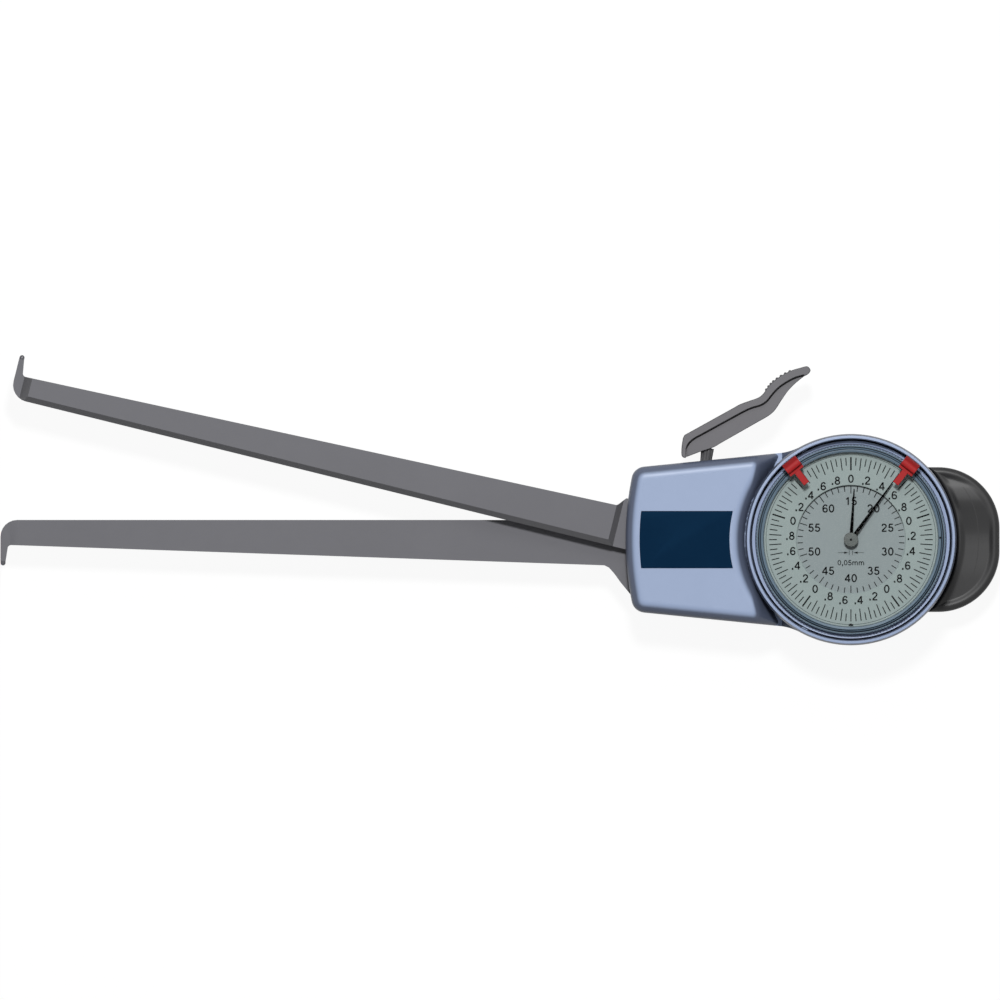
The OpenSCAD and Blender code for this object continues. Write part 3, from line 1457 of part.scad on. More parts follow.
// The crystal: a disc with a slight dome, as rings at shares of its radius
crystal_ring_shares = [0, 0.25, 0.5, 0.7, 0.85, 1];
function dome_points(z) =
    [for (s = crystal_ring_shares) [crystal_r * s, z + crystal_dome * (1 - s * s)]];
module crystal() {
    low = dome_points(crystal_z);
    high = dome_points(bezel_top);
    color("#cfe0e6") rotate_extrude()
        polygon(concat(low, reversed(high)));
}

// A tolerance marker: a block that rides over the bezel's edge, with a tongue over the crystal.
// Its section as shares of its depth and height, from the flutes and the bezel's top
marker_w = 5.6;
marker_d = 4.2;
marker_h = 3;
tongue_w = 1.9;
tongue_len = 4.5;
marker_shares = [
    [-0.62, 0.27], [-0.62, 0.8], [-0.36, 1], [0.12, 1], [0.38, 0.73], [0.38, -0.07], [0.18, -0.07],
    [0.18, -0.3], [0.06, -0.3], [0.06, 0.1], [-0.48, 0.1]
];
tongue_rise = 0.8;
tongue_t = 0.8;
module marker() {
    translate([0, 0, bezel_top]) {
        intersection() {
            rotate_extrude() translate([flute_r, 0])
                polygon(scaled_points(marker_shares, [marker_d, marker_h]));
            translate([0, -marker_w / 2, -marker_w]) cube([2 * cup_r, marker_w, 2 * marker_w]);
        }
        translate([flute_r + marker_shares[0][0] * marker_d - tongue_len, -tongue_w / 2, tongue_rise])
            cube([tongue_len + seat, tongue_w, tongue_t]);
    }
}

module left_tolerance_marker() {
    color("#b22a2c") rotate(90 + marker_at) marker();
}

module right_tolerance_marker() {
    color("#b22a2c") rotate(90 - marker_at) marker();
}

front_casing();
rear_cover();
cover_seal();
cover_screws();
name_plate();
grip();
grip_screws();
mouth_seal();
slot_seal();
fixed_arm();
fixed_arm_screws();
fixed_contact();
moving_arm();
moving_contact();
arm_hub();
hub_screws();
pivot_bush();
pivot_shaft();
pivot_washer();
pivot_bridge();
bridge_screws();
return_spring();
spring_anchor_pin();
spring_arm_pin();
stop_pin();
gear_sector();
lever_stem();
stem_sleeve();
slot_shutter();
release_lever();
movement_back_plate();
movement_front_plate();
plate_pillars();
plate_screws();
movement_screws();
first_arbor();
first_wheel();
second_arbor();
second_wheel();
centre_arbor();
pipe_wheel();
take_up_arbor();
take_up_wheel();
hairspring();
hairspring_stud();
short_pointer();
long_pointer();
pointer_cap();
bezel_ring();
bezel_seal();
bezel_retainer();
dial_plate();
dial_carrier();
crystal();
left_tolerance_marker();
right_tolerance_marker();
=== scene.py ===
"""Dial gauge for measuring inside widths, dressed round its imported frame.

Lengths in the functions are in millimetres, in the frame's own axes: X runs from the contacts
to the grip, Y from the moving arm to the lever, Z from the grip's flat back to the dial. Each
mesh is scaled to metres when it is made.
"""
import json
from math import atan, atan2, cos, degrees, pi, radians, sin, sqrt, tan

import bmesh
import bpy
import numpy as np
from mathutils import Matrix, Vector


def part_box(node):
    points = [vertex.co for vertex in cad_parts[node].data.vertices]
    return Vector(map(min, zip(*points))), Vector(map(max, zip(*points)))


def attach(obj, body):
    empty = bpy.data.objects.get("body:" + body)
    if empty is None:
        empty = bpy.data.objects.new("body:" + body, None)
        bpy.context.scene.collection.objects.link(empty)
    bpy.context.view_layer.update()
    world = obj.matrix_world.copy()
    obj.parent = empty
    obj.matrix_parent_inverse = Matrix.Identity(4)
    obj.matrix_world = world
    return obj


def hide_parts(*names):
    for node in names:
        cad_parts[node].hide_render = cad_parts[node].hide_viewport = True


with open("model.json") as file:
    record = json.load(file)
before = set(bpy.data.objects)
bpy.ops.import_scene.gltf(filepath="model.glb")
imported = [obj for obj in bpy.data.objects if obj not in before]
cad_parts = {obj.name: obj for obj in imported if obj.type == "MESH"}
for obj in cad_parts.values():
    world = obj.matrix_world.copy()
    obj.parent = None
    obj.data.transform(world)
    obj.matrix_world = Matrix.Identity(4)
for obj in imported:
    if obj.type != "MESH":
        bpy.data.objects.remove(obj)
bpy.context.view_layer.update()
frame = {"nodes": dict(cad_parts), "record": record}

MM = 0.001
# The bore's radius in a section that is turned into a solid without a hole
CORE = 0.001
scene = bpy.context.scene

# Sizes, in millimetres

# Levels of the seam between casing and cover, the cover's back, the neck's face and the cup's rim
SEAM_Z, CASE_Z, PAD_Z, RIM_Z = 9.5, 6.5, 28.3, 30.5
CUP_R, BORE_R = 32.8, 29.0
# The neck's end and root, with half its height there, the bow of its end and its rounded edges
NECK_LEFT, NECK_END_HALF, NECK_ROOT_X, NECK_ROOT_HALF = -69.9, 22.1, -22.0, 26.9
NECK_BOW_R, NECK_CORNER_R, PAD_FILLET, WALL = 97.0, 4.2, 3.6, 2.0
NECK_SLOPE = atan((NECK_ROOT_HALF - NECK_END_HALF) / (NECK_ROOT_X - NECK_LEFT))
# The arms' pivot, and the level of the lever's middle
PIVOT, STEM_Z = np.array([-48.0, 0.0]), 19.5
DIAL_Z, DIAL_R, DIAL_INNER_R, DIAL_STEP = 27.8, 27.02, 16.75, 0.3
BEZEL_TOP, CRYSTAL_R = 31.2, 27.25


# Curves
def arc(cx, cy, r, start, end, steps):
    """Points centre + r (cos a, sin a) for steps + 1 even angles a from start to end, in degrees."""
    a = np.radians(np.linspace(start, end, steps + 1))
    return np.stack([cx + r * np.cos(a), cy + r * np.sin(a)], 1)


def path(*runs):
    """One outline from runs of points, leaving out points that repeat the one before."""
    p = np.concatenate([np.atleast_2d(np.asarray(run, float)) for run in runs])
    keep = np.linalg.norm(p - np.roll(p, 1, 0), axis=1) > 1e-6
    return p[keep]


def smooth(points, steps):
    """A Catmull-Rom curve: each piece is the cubic through its two points, whose slope at a point
    is half the way between the point's neighbours."""
    p = np.asarray(points, float)
    q = np.concatenate([p[:1], p, p[-1:]])
    t = (np.arange(steps) / steps)[None, :, None]
    a, b, c, d = (q[k:len(q) - 3 + k, None, :] for k in range(4))
    curve = (2 * b + (c - a) * t + (2 * a - 5 * b + 4 * c - d) * t ** 2
             + (3 * b - a - 3 * c + d) * t ** 3) / 2
    return np.concatenate([curve.reshape(-1, p.shape[1]), p[-1:]])


def even(outline, step):
    """A closed outline resampled at equal lengths of about step."""
    p = np.concatenate([outline, outline[:1]])
    s = np.concatenate([[0], np.cumsum(np.linalg.norm(np.diff(p, axis=0), axis=1))])
    at = np.linspace(0, s[-1], int(round(s[-1] / step)), endpoint=False)
    return np.stack([np.interp(at, s, p[:, k]) for k in range(2)], 1)


# The least divisor of a mitre, which holds sharp corners back
MITRE_LIMIT = 0.7


def mitre(outline):
    """For each point of a closed counterclockwise outline, the way that moves both of its edges
    out by one: (n1 + n2) / (1 + n1 . n2), with n1 and n2 the edges' outward normals."""
    e = np.roll(outline, -1, 0) - outline
    e /= np.linalg.norm(e, axis=1)[:, None]
    n2 = np.stack([e[:, 1], -e[:, 0]], 1)
    n1 = np.roll(n2, 1, 0)
    return (n1 + n2) / np.maximum(1 + np.sum(n1 * n2, 1), MITRE_LIMIT)[:, None]


def rounding(r, z, way, steps=8):
    """(inset, z) pairs round a quarter circle of radius r: up to a top at z for way 1, and from a
    bottom at z for way -1, always from low to high."""
    a = np.radians(np.linspace(0, 90, steps + 1))
    pairs = np.stack([r * (1 - np.cos(a)), z - way * r * (1 - np.sin(a))], 1)
    return [tuple(p) for p in (pairs if way > 0 else pairs[::-1])]


def quarter_drop(d, r):
    """How far a rounded edge lies below its top at a distance d from the edge: r less the square
    root of r^2 - (r - d)^2, and nothing from r on."""
    d = np.clip(d, 0, r)
    return r - np.sqrt(np.maximum(r ** 2 - (r - d) ** 2, 0))


def nearest(points, line):
    """Each point's distance to a closed outline: the least distance to any of its edges."""
    a, b = line, np.roll(line, -1, 0)
    ab = b - a
    ap = points[:, None, :] - a[None]
    t = np.clip(np.sum(ap * ab, 2) / np.sum(ab * ab, 1), 0, 1)
    return np.sqrt(np.min(np.sum((ap - t[..., None] * ab) ** 2, 2), 1))


# Meshes
def quads(rows, cols, wrap_rows=False):
    """The faces of a grid of rows by cols points, numbered row by row, whose rows are rings."""
    r, c = np.meshgrid(np.arange(rows if wrap_rows else rows - 1), np.arange(cols), indexing="ij")
    r, c = r.ravel(), c.ravel()
    r1, c1 = (r + 1) % rows, (c + 1) % cols
    return np.stack([r * cols + c, r * cols + c1, r1 * cols + c1, r1 * cols + c], 1).tolist()


# Points nearer than this, in millimetres, become one
MERGE = 1e-5


def as_object(name, parts):
    """One object from (points, faces) parts in millimetres, with doubles merged and every closed
    shell's faces turned outwards."""
    mesh = bpy.data.meshes.new(name)
    points, faces, start = [], [], 0
    for p, f in parts:
        points.append(np.asarray(p, float).reshape(-1, 3))
        faces += [[i + start for i in face] for face in f]
        start += len(points[-1])
    mesh.from_pydata((np.concatenate(points) * MM).tolist(), [], faces)
    bm = bmesh.new()
    bm.from_mesh(mesh)
    bmesh.ops.remove_doubles(bm, verts=bm.verts, dist=MERGE * MM)
    bmesh.ops.dissolve_degenerate(bm, edges=bm.edges, dist=MERGE * MM)
    bmesh.ops.recalc_face_normals(bm, faces=bm.faces)
    bm.to_mesh(mesh)
    bm.free()
    obj = bpy.data.objects.new(name, mesh)
    scene.collection.objects.link(obj)
    return obj


def prism(outline, levels):
    """A closed solid through (inset, z) levels, the lowest first: ring k is outline - inset_k times
    the mitre, at z_k. Its ends are flat."""
    m, n = mitre(outline), len(outline)
    rings = [np.column_stack([outline - inset * m, np.full(n, z)]) for inset, z in levels]
    faces = quads(len(rings), n)
    faces += [list(range(n))[::-1], [(len(rings) - 1) * n + i for i in range(n)]]
    return np.concatenate(rings), faces


def revolve(section, steps):
    """A closed solid: each (r, z) of a closed section goes round Z as (r cos a, r sin a, z)."""
    s = np.asarray(section, float)
    a = np.linspace(0, 2 * pi, steps, endpoint=False)
    p = np.stack([s[:, None, 0] * np.cos(a), s[:, None, 0] * np.sin(a),
                  np.repeat(s[:, 1:2], steps, 1)], 2)
    return p, quads(len(s), steps, wrap_rows=True)


def band(r_in, r_out, low, high, steps):
    """A flat ring from one height to another, or a cylinder where r_in is CORE."""
    return revolve([(r_in, low), (r_out, low), (r_out, high), (r_in, high)], steps)


def tube(radii, levels, bore_r):
    """A closed solid with a round bore: its outside has the radius radii[k, j] at level k and at
    the angle j of a whole turn."""
    count = radii.shape[1]
    a = np.linspace(0, 2 * pi, count, endpoint=False)
    r = np.concatenate([radii, np.full((2, count), bore_r)])
    z = np.append(levels, [levels[-1], levels[0]])
    p = np.stack([r * np.cos(a), r * np.sin(a), np.repeat(z[:, None], count, 1)], 2)
    return p, quads(len(z), count, wrap_rows=True)


def channel(rings):
    """A closed solid through four-cornered rings along a path."""
    n = len(rings)
    faces = quads(n, 4) + [[3, 2, 1, 0], [4 * n - 4 + i for i in range(4)]]
    return rings.reshape(-1, 3), faces


def block(low, high):
    """A box from its low corner to its high corner."""
    (x0, y0, z0), (x1, y1, z1) = low, high
    return prism(np.array([[x0, y0], [x1, y0], [x1, y1], [x0, y1]], float), [(0, z0), (0, z1)])


def height_block(outline, centre, rings, floor, height):
    """A closed solid with a shaped top: ring t of the top lies at (1 - t) outline + t centre, at
    height(x, y), and a wall goes from the outline down to the floor. The last ring is closed by
    one flat face."""
    t = np.asarray(rings)[:, None, None]
    flat = (1 - t) * outline[None] + t * centre[None]
    z = height(flat.reshape(-1, 2)).reshape(flat.shape[:2])
    top = np.concatenate([flat, z[..., None]], 2)
    foot = np.concatenate([top[:1, :, :2], np.full((1, len(outline), 1), floor)], 2)
    n = len(outline)
    faces = quads(len(rings) + 1, n)
    faces += [list(range(n))[::-1], [len(rings) * n + i for i in range(n)]]
    return np.concatenate([foot, top]).reshape(-1, 3), faces


def moved(part, turn=0.0, shift=(0, 0, 0)):
    """A part turned about Z by turn degrees and then shifted."""
    p, f = np.asarray(part[0], float).reshape(-1, 3), part[1]
    c, s = cos(radians(turn)), sin(radians(turn))
    q = np.stack([c * p[:, 0] - s * p[:, 1], s * p[:, 0] + c * p[:, 1], p[:, 2]], 1)
    return q + np.asarray(shift, float), f


def placed(part, origin, x_axis, y_axis, z_axis):
    """A part whose own axes lie along three given unit vectors from an origin."""
    p, f = np.asarray(part[0], float).reshape(-1, 3), part[1]
    return p @ np.array([x_axis, y_axis, z_axis], float) + np.asarray(origin, float), f


def upright(part):
    """A part whose outline is turned up from X and Y into X and Z."""
    return placed(part, (0, 0, 0), (1, 0, 0), (0, 0, 1), (0, -1, 0))


def settle(obj):
    """Makes an object's modifiers part of its mesh."""
    graph = bpy.context.evaluated_depsgraph_get()
    graph.update()
    mesh = bpy.data.meshes.new_from_object(obj.evaluated_get(graph))
    obj.modifiers.clear()
    old, obj.data = obj.data, mesh
    bpy.data.meshes.remove(old)


def carve(obj, parts, way="DIFFERENCE"):
    """Cuts parts off an object or adds them to it."""
    for part in parts:
        tool = part if isinstance(part, bpy.types.Object) else as_object("tool", [part])
        mod = obj.modifiers.new("carve", "BOOLEAN")
        mod.operation, mod.object, mod.solver = way, tool, "MANIFOLD"
        settle(obj)
        if len(obj.data.vertices) == 0:
            raise ValueError(obj.name + " was lost in a cut")
        bpy.data.objects.remove(tool)


def piece(name, obj, body, slot, nodes=(), look=None, bevel=0.0, angle=32.0, segments=2):
    """Finishes an object as a piece: a small rounded edge, smooth faces that break at sharp edges,
    the slot's material or another one and its body; the nodes that it stands for are hidden."""
    obj.name = obj.data.name = name
    if bevel:
        mod = obj.modifiers.new("edges", "BEVEL")
        mod.width, mod.segments, mod.limit_method = bevel * MM, segments, "ANGLE"
        mod.angle_limit = radians(angle)
        settle(obj)
    obj.data.polygons.foreach_set("use_smooth", np.ones(len(obj.data.polygons), bool))
    obj.data.set_sharp_from_angle(angle=radians(angle))
    mod = obj.modifiers.new("normals", "WEIGHTED_NORMAL")
    mod.keep_sharp = True
    obj.data.materials.clear()
    obj.data.materials.append(MATERIALS[look or slot])
    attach(obj, body)
    if nodes:
        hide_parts(*nodes)


# Shader groups
COLOR, VALUE, VECTOR = "NodeSocketColor", "NodeSocketFloat", "NodeSocketVector"


class Graph:
    """A node tree that is written as nested calls."""

    def __init__(self, tree):
        self.tree = tree

    def add(self, kind, *links, **values):
        """A node of a kind: names with values set its properties, then links fill its inputs."""
        node = self.tree.nodes.new(kind)
        for key, value in values.items():
            setattr(node, key, value)
        for key, value in links:
            if isinstance(value, bpy.types.NodeSocket):
                self.tree.links.new(value, node.inputs[key])
            else:
                node.inputs[key].default_value = value
        return node

    def group(self, tree, *links):
        """The outputs of a shader group whose inputs are filled."""
        return self.add("ShaderNodeGroup", *links, node_tree=tree).outputs

    def math(self, way, a, b=0.0):
        """A Math node's output."""
        return self.add("ShaderNodeMath", (0, a), (1, b), operation=way).outputs[0]

    def spread(self, value, low, high):
        """A smooth step from 0 at low to 1 at high."""
        return self.add("ShaderNodeMapRange", (0, value), (1, low), (2, high),
                        interpolation_type="SMOOTHSTEP").outputs[0]

    def mix(self, share, a, b):
        """A colour between a and b. On a Mix node the colours are inputs 6 and 7 and output 2."""
        return self.add("ShaderNodeMix", (0, share), (6, a), (7, b), data_type="RGBA").outputs[2]

    def noise(self, vector, scale, detail=3.0, rough=0.5):
        """A noise's value."""
        return self.add("ShaderNodeTexNoise", ("Vector", vector), ("Scale", scale),
                        ("Detail", detail), ("Roughness", rough)).outputs[0]

    def place(self):
        """Object coordinates, in metres in the frame's axes."""
        return self.add("ShaderNodeTexCoord").outputs["Object"]

    def rays(self, *kinds):
        """One for rays of any of three kinds, else nought."""
        light = self.add("ShaderNodeLightPath").outputs
        first, second, third = (light[kind] for kind in kinds)
        return self.math("MAXIMUM", self.math("MAXIMUM", first, second), third)

    def show(self, socket):
        """Makes a shader the material's own."""
        self.tree.links.new(socket, self.tree.nodes["Material Output"].inputs[0])


def shader_group(name, inputs, outputs, build):
    """A node group with named inputs (name, kind, value) and outputs (name, kind)."""
    tree = bpy.data.node_groups.new(name, "ShaderNodeTree")
    for label, kind, value in inputs:
        tree.interface.new_socket(label, in_out="INPUT", socket_type=kind).default_value = value
    for label, kind in outputs:
        tree.interface.new_socket(label, in_out="OUTPUT", socket_type=kind)
    graph = Graph(tree)
    given = tree.nodes.new("NodeGroupInput").outputs
    result = tree.nodes.new("NodeGroupOutput").inputs
    for label, socket in build(graph, given).items():
        tree.links.new(socket, result[label])
    return tree


def per_size(g, size):
    """Patterns per metre for a pattern's size in millimetres."""
    return g.math("DIVIDE", 1000.0, size)


def build_cloud(g, given):
    """Two tones in soft patches, with finer patches inside them."""
    at = g.place()
    wide = g.noise(at, per_size(g, given["Size"]), 2.0)
    fine = g.noise(at, per_size(g, g.math("DIVIDE", given["Size"], 9.0)), 4.0, 0.6)
    mask = g.spread(g.math("ADD", g.math("MULTIPLY", wide, 0.7), g.math("MULTIPLY", fine, 0.3)),
                    0.35, 0.65)
    return {"Color": g.mix(g.math("MULTIPLY", mask, given["Amount"]), given["Color"],
                           given["Dark"])}


def varied(g, given, pattern):
    """A roughness that a pattern varies by the given spread."""
    return g.math("ADD", given["Roughness"],
                  g.math("MULTIPLY", g.math("SUBTRACT", pattern, 0.5), given["Spread"]))


def build_grain(g, given):
    """Fine grain: a height, and a roughness that varies with it and with wider smears."""
    at = g.place()
    fine = g.noise(at, per_size(g, given["Size"]), 4.0, 0.65)
    smear = g.noise(at, per_size(g, g.math("MULTIPLY", given["Size"], 40.0)), 3.0)
    both = g.math("ADD", g.math("MULTIPLY", fine, 0.4), g.math("MULTIPLY", smear, 0.6))
    return {"Roughness": varied(g, given, both), "Height": fine}


def build_brush(g, given):
    """Brush lines: noise drawn out by the Stretch scales, as a height and a roughness."""
    drawn = g.add("ShaderNodeVectorMath", (0, g.place()), (1, given["Stretch"]),
                  operation="MULTIPLY").outputs[0]
    lines = g.noise(drawn, 1.0, 5.0, 0.7)
    return {"Roughness": varied(g, given, lines), "Height": lines}


def build_rings(g, given):
    """Turned rings round the dial's axis: a wave of the distance sqrt(x^2 + y^2)."""
    x, y = g.add("ShaderNodeSeparateXYZ", (0, g.place())).outputs[:2]
    r = g.math("SQRT", g.math("ADD", g.math("MULTIPLY", x, x), g.math("MULTIPLY", y, y)))
    turns = g.math("MULTIPLY", r, per_size(g, given["Pitch"]))
    wave = g.math("SINE", g.math("MULTIPLY", turns, 2 * pi))
    uneven = g.noise(g.add("ShaderNodeCombineXYZ", (0, turns)).outputs[0], 0.7, 2.0)
    return {"Height": g.math("MULTIPLY", g.math("ADD", g.math("MULTIPLY", wave, 0.5), 0.5), uneven)}


def build_edge(g, given):
    """A colour that turns to the edge colour where the surface is sharply convex, broken by
    noise."""
    broken = g.noise(g.place(), per_size(g, 1.2), 4.0, 0.7)
    edge = g.spread(g.math("ADD", given["Pointiness"], g.math("MULTIPLY", broken, 0.06)),
                    *WORN_FROM_TO)
    return {"Color": g.mix(g.math("MULTIPLY", edge, given["Amount"]), given["Color"],
                           given["Edge"])}


def build_side(g, given):
    """Painted shade: a colour that turns to the side colour as the surface turns from level to
    upright, fully where its normal's height has fallen to the given level. The steepest faces turn to
    near black, a painted dark outline."""
    side = g.spread(given["Upright"], 1.0, given["Level"])
    tone = g.mix(g.math("MULTIPLY", side, given["Amount"]), given["Color"], given["Side"])
    steep_shade = g.math("MULTIPLY", g.spread(given["Upright"], *STEEP_SHADE_FROM_TO), given["Steep"])
    return {"Color": g.mix(steep_shade, tone, STEEP_SHADE_BLACK)}


# The grey is a default; the near black is the painted shade of the steepest faces
GREY, STEEP_SHADE_BLACK = (0.5, 0.5, 0.5, 1.0), (0.002, 0.002, 0.003, 1.0)
# The pointiness at which an edge starts to look worn and is fully so, and the heights of a face's
# normal at which the near-black painted shade of the steepest faces starts and is full
WORN_FROM_TO, STEEP_SHADE_FROM_TO = (0.555, 0.64), (0.72, 0.2)
CLOUD = shader_group(
    "soft patches", [("Color", COLOR, GREY), ("Dark", COLOR, GREY), ("Size", VALUE, 20.0),
                     ("Amount", VALUE, 1.0)],
    [("Color", COLOR)], build_cloud)
GRAIN = shader_group(
    "fine grain", [("Size", VALUE, 0.3), ("Roughness", VALUE, 0.4), ("Spread", VALUE, 0.2)],
    [("Roughness", VALUE), ("Height", VALUE)], build_grain)
BRUSH = shader_group(
    "brush lines", [("Stretch", VECTOR, (200.0, 9000.0, 9000.0)), ("Roughness", VALUE, 0.4),
                    ("Spread", VALUE, 0.2)], [("Roughness", VALUE), ("Height", VALUE)], build_brush)
RINGS = shader_group("turned rings", [("Pitch", VALUE, 0.1)], [("Height", VALUE)], build_rings)
EDGE = shader_group(
    "worn edge", [("Color", COLOR, GREY), ("Edge", COLOR, GREY), ("Pointiness", VALUE, 0.5),
                  ("Amount", VALUE, 0.5)], [("Color", COLOR)], build_edge)
# Painted shade: darker sides by the height of the normal, and near black on the steepest faces
PAINTED_SIDE_SHADE = shader_group(
    "painted side shade", [("Color", COLOR, GREY), ("Side", COLOR, GREY), ("Upright", VALUE, 1.0),
                  ("Level", VALUE, 0.83), ("Amount", VALUE, 1.0), ("Steep", VALUE, 0.0)],
    [("Color", COLOR)], build_side)


def linear(levels):
    """A colour in linear light from levels of 0 to 255."""
    c = np.asarray(levels, float) / 255
    c = np.where(c <= 0.04045, c / 12.92, ((c + 0.055) / 1.055) ** 2.4)
    return (*(float(v) for v in c), 1.0)


def finish(name, color, dark, patch=25.0, amount=0.5, rough=0.4, spread=0.15, grain=0.25,
           bump=0.004, brush=None, rings=None, edge=None, edge_amount=0.5, side=None,
           side_shade_amount=0.9, side_shade_level=0.83, steep_shade=0.0, **sockets):
    """A material: patches of two tones, a worn edge, painted shade on faces that turn from level, and
    grain, brush lines or turned rings for its roughness and height. Colours are levels of 0 to 255.
    patch, grain and rings are the sizes of the patches, the grain and the rings, and bump is the
    height of the relief, in millimetres. amount is how far the patches turn dark, spread how far the
    roughness varies. The side colour is that painted shade, with its amount and level, and the
    steepest faces can be painted near black as well. Sockets are set on the shader itself."""
    mat = bpy.data.materials.new(name)
    mat.use_nodes = True
    g = Graph(mat.node_tree)
    shader = mat.node_tree.nodes["Principled BSDF"]
    tone = g.group(CLOUD, ("Color", linear(color)), ("Dark", linear(dark)), ("Size", patch),
                   ("Amount", amount))["Color"]
    shape = g.add("ShaderNodeNewGeometry").outputs
    if edge:
        tone = g.group(EDGE, ("Color", tone), ("Edge", linear(edge)),
                       ("Pointiness", shape["Pointiness"]), ("Amount", edge_amount))["Color"]
    # Painted shade: the side colour darkens faces as their normal turns from level, and the steepest
    # faces are painted near black
    if side:
        upright = g.add("ShaderNodeSeparateXYZ", (0, shape["Normal"])).outputs[2]
        tone = g.group(PAINTED_SIDE_SHADE, ("Color", tone), ("Side", linear(side)), ("Upright", upright),
                       ("Level", side_shade_level), ("Amount", side_shade_amount), ("Steep", steep_shade))["Color"]
    surface = [("Roughness", rough), ("Spread", spread)]
    if brush:
        made = g.group(BRUSH, ("Stretch", brush), *surface)
    else:
        made = g.group(GRAIN, ("Size", grain), *surface)
    height = made["Height"]
    if rings:
        height = g.group(RINGS, ("Pitch", rings))["Height"]
    normal = g.add("ShaderNodeBump", ("Height", height), ("Distance", bump * MM),
                   ("Strength", 1.0)).outputs[0]
    g.tree.links.new(tone, shader.inputs["Base Color"])
    g.tree.links.new(made["Roughness"], shader.inputs["Roughness"])
    g.tree.links.new(normal, shader.inputs["Normal"])
    for key, value in sockets.items():
        shader.inputs[key.replace("_", " ")].default_value = value
    return mat


BRUSH_X = (150.0, 6000.0, 6000.0)
# A side colour below is painted shade on faces turned from level; the casing's steepest faces are
# also painted near black, as a dark outline
MATERIALS = {
    "casing": finish("satin blue casing", (161, 178, 210), (156, 173, 205), 30, 0.6,
                     0.4, 0.08, 0.12, 0.001, side=(90, 99, 120), side_shade_amount=1.0,
                     steep_shade=0.2, Specular_IOR_Level=0.42),
    "cover": finish("satin blue cover", (146, 162, 195), (138, 154, 186), 30, 0.6,
                    0.45, 0.1, 0.12, 0.0012),
    "seal": finish("black seal rubber", (30, 30, 32), (20, 20, 22), 6, 0.7, 0.7, 0.2,
                   0.08, 0.004, Specular_IOR_Level=0.2),
    "screw_steel": finish("satin screw steel", (190, 192, 196), (165, 167, 172), 3,
                          0.5, 0.28, 0.2, brush=BRUSH_X, bump=0.001, Metallic=1.0),
    "label": finish("navy label", (7, 41, 69), (5, 37, 64), 12, 0.5, 0.45, 0.1, 0.1,
                    0.0008, edge=(14, 50, 80), edge_amount=0.3, Specular_IOR_Level=0.02),
    "grip": finish("black moulded grip", (42, 42, 43), (36, 36, 37), 18, 0.6, 0.42,
                   0.08, 0.18, 0.003, edge=(60, 60, 61), edge_amount=0.4,
                   side=(30, 30, 31), side_shade_amount=0.7, side_shade_level=0.3,
                   Specular_IOR_Level=0.3),
    "arm": finish("grey anodised arm", (113, 113, 118), (108, 108, 113), 40, 0.6,
                  0.5, 0.12, brush=(60.0, 5000.0, 5000.0), bump=0.0005, side=(104, 104, 107),
                  Specular_IOR_Level=0.25),
    "contact": finish("hard dark steel", (96, 96, 100), (80, 80, 84), 1.5, 0.5, 0.25,
                      0.1, 0.06, 0.0005, Metallic=1.0),
    "hub": finish("turned hub", (170, 171, 175), (150, 151, 156), 6, 0.5, 0.35, 0.15,
                  brush=BRUSH_X, bump=0.001, Metallic=1.0),
    "brass": finish("movement brass", (206, 170, 96), (186, 148, 78), 8, 0.5, 0.3,
                    0.15, brush=BRUSH_X, bump=0.001, Metallic=1.0),
    "pin_steel": finish("polished pin steel", (205, 207, 211), (185, 187, 192), 3,
                        0.4, 0.16, 0.1, 0.08, 0.0005, Metallic=1.0),
    "spring_steel": finish("spring steel", (180, 182, 187), (150, 152, 160), 3, 0.5,
                           0.25, 0.15, 0.1, 0.001, Metallic=1.0),
    "sleeve": finish("dark sleeve", (88, 88, 90), (76, 76, 78), 4, 0.6, 0.4,
                     0.15, 0.1, 0.002, Specular_IOR_Level=0.4),
    "lever": finish("grey moulded lever", (114, 113, 117), (109, 108, 112), 14, 0.6,
                    0.48, 0.12, 0.14, 0.002, side=(40, 40, 41), Specular_IOR_Level=0.25),
    "pointer": finish("black enamel", (3, 3, 3), (1, 1, 2), 2, 0.5, 0.6, 0.1,
                      0.1, 0.0001, Specular_IOR_Level=0.0),
    "cap": finish("turned cap", (106, 112, 110), (100, 106, 104), 1.5, 0.5, 0.5, 0.1,
                  rings=0.12, bump=0.0006, side=(36, 38, 38), Specular_IOR_Level=0.1),
    "bezel": finish("teal bezel", (104, 124, 140), (94, 114, 130), 10, 0.6, 0.4,
                    0.15, rings=0.35, bump=0.002, side=(84, 102, 118), side_shade_level=0.3,
                    Specular_IOR_Level=0.35),
    "dial": finish("dial enamel", (156, 170, 168), (152, 166, 165), 14, 0.7, 0.55,
                   0.1, 0.08, 0.0005, Specular_IOR_Level=0.2),
    "inner_dial": finish("inner dial enamel", (147, 158, 159), (143, 154, 156), 14,
                         0.7, 0.55, 0.1, 0.08, 0.0005, Specular_IOR_Level=0.2),
    "carrier": finish("dark carrier", (52, 54, 58), (42, 44, 48), 6, 0.5, 0.5, 0.15,
                      0.1, 0.003),
    "print": finish("black dial print", (14, 17, 18), (10, 12, 13), 2, 0.5, 0.5, 0.1,
                    0.1, 0.0002, Specular_IOR_Level=0.05),
    "marker": finish("red marker", (174, 37, 39), (168, 34, 36), 3, 0.6, 0.45, 0.12,
                     0.12, 0.0012, side=(140, 28, 30), Specular_IOR_Level=0.15),
}


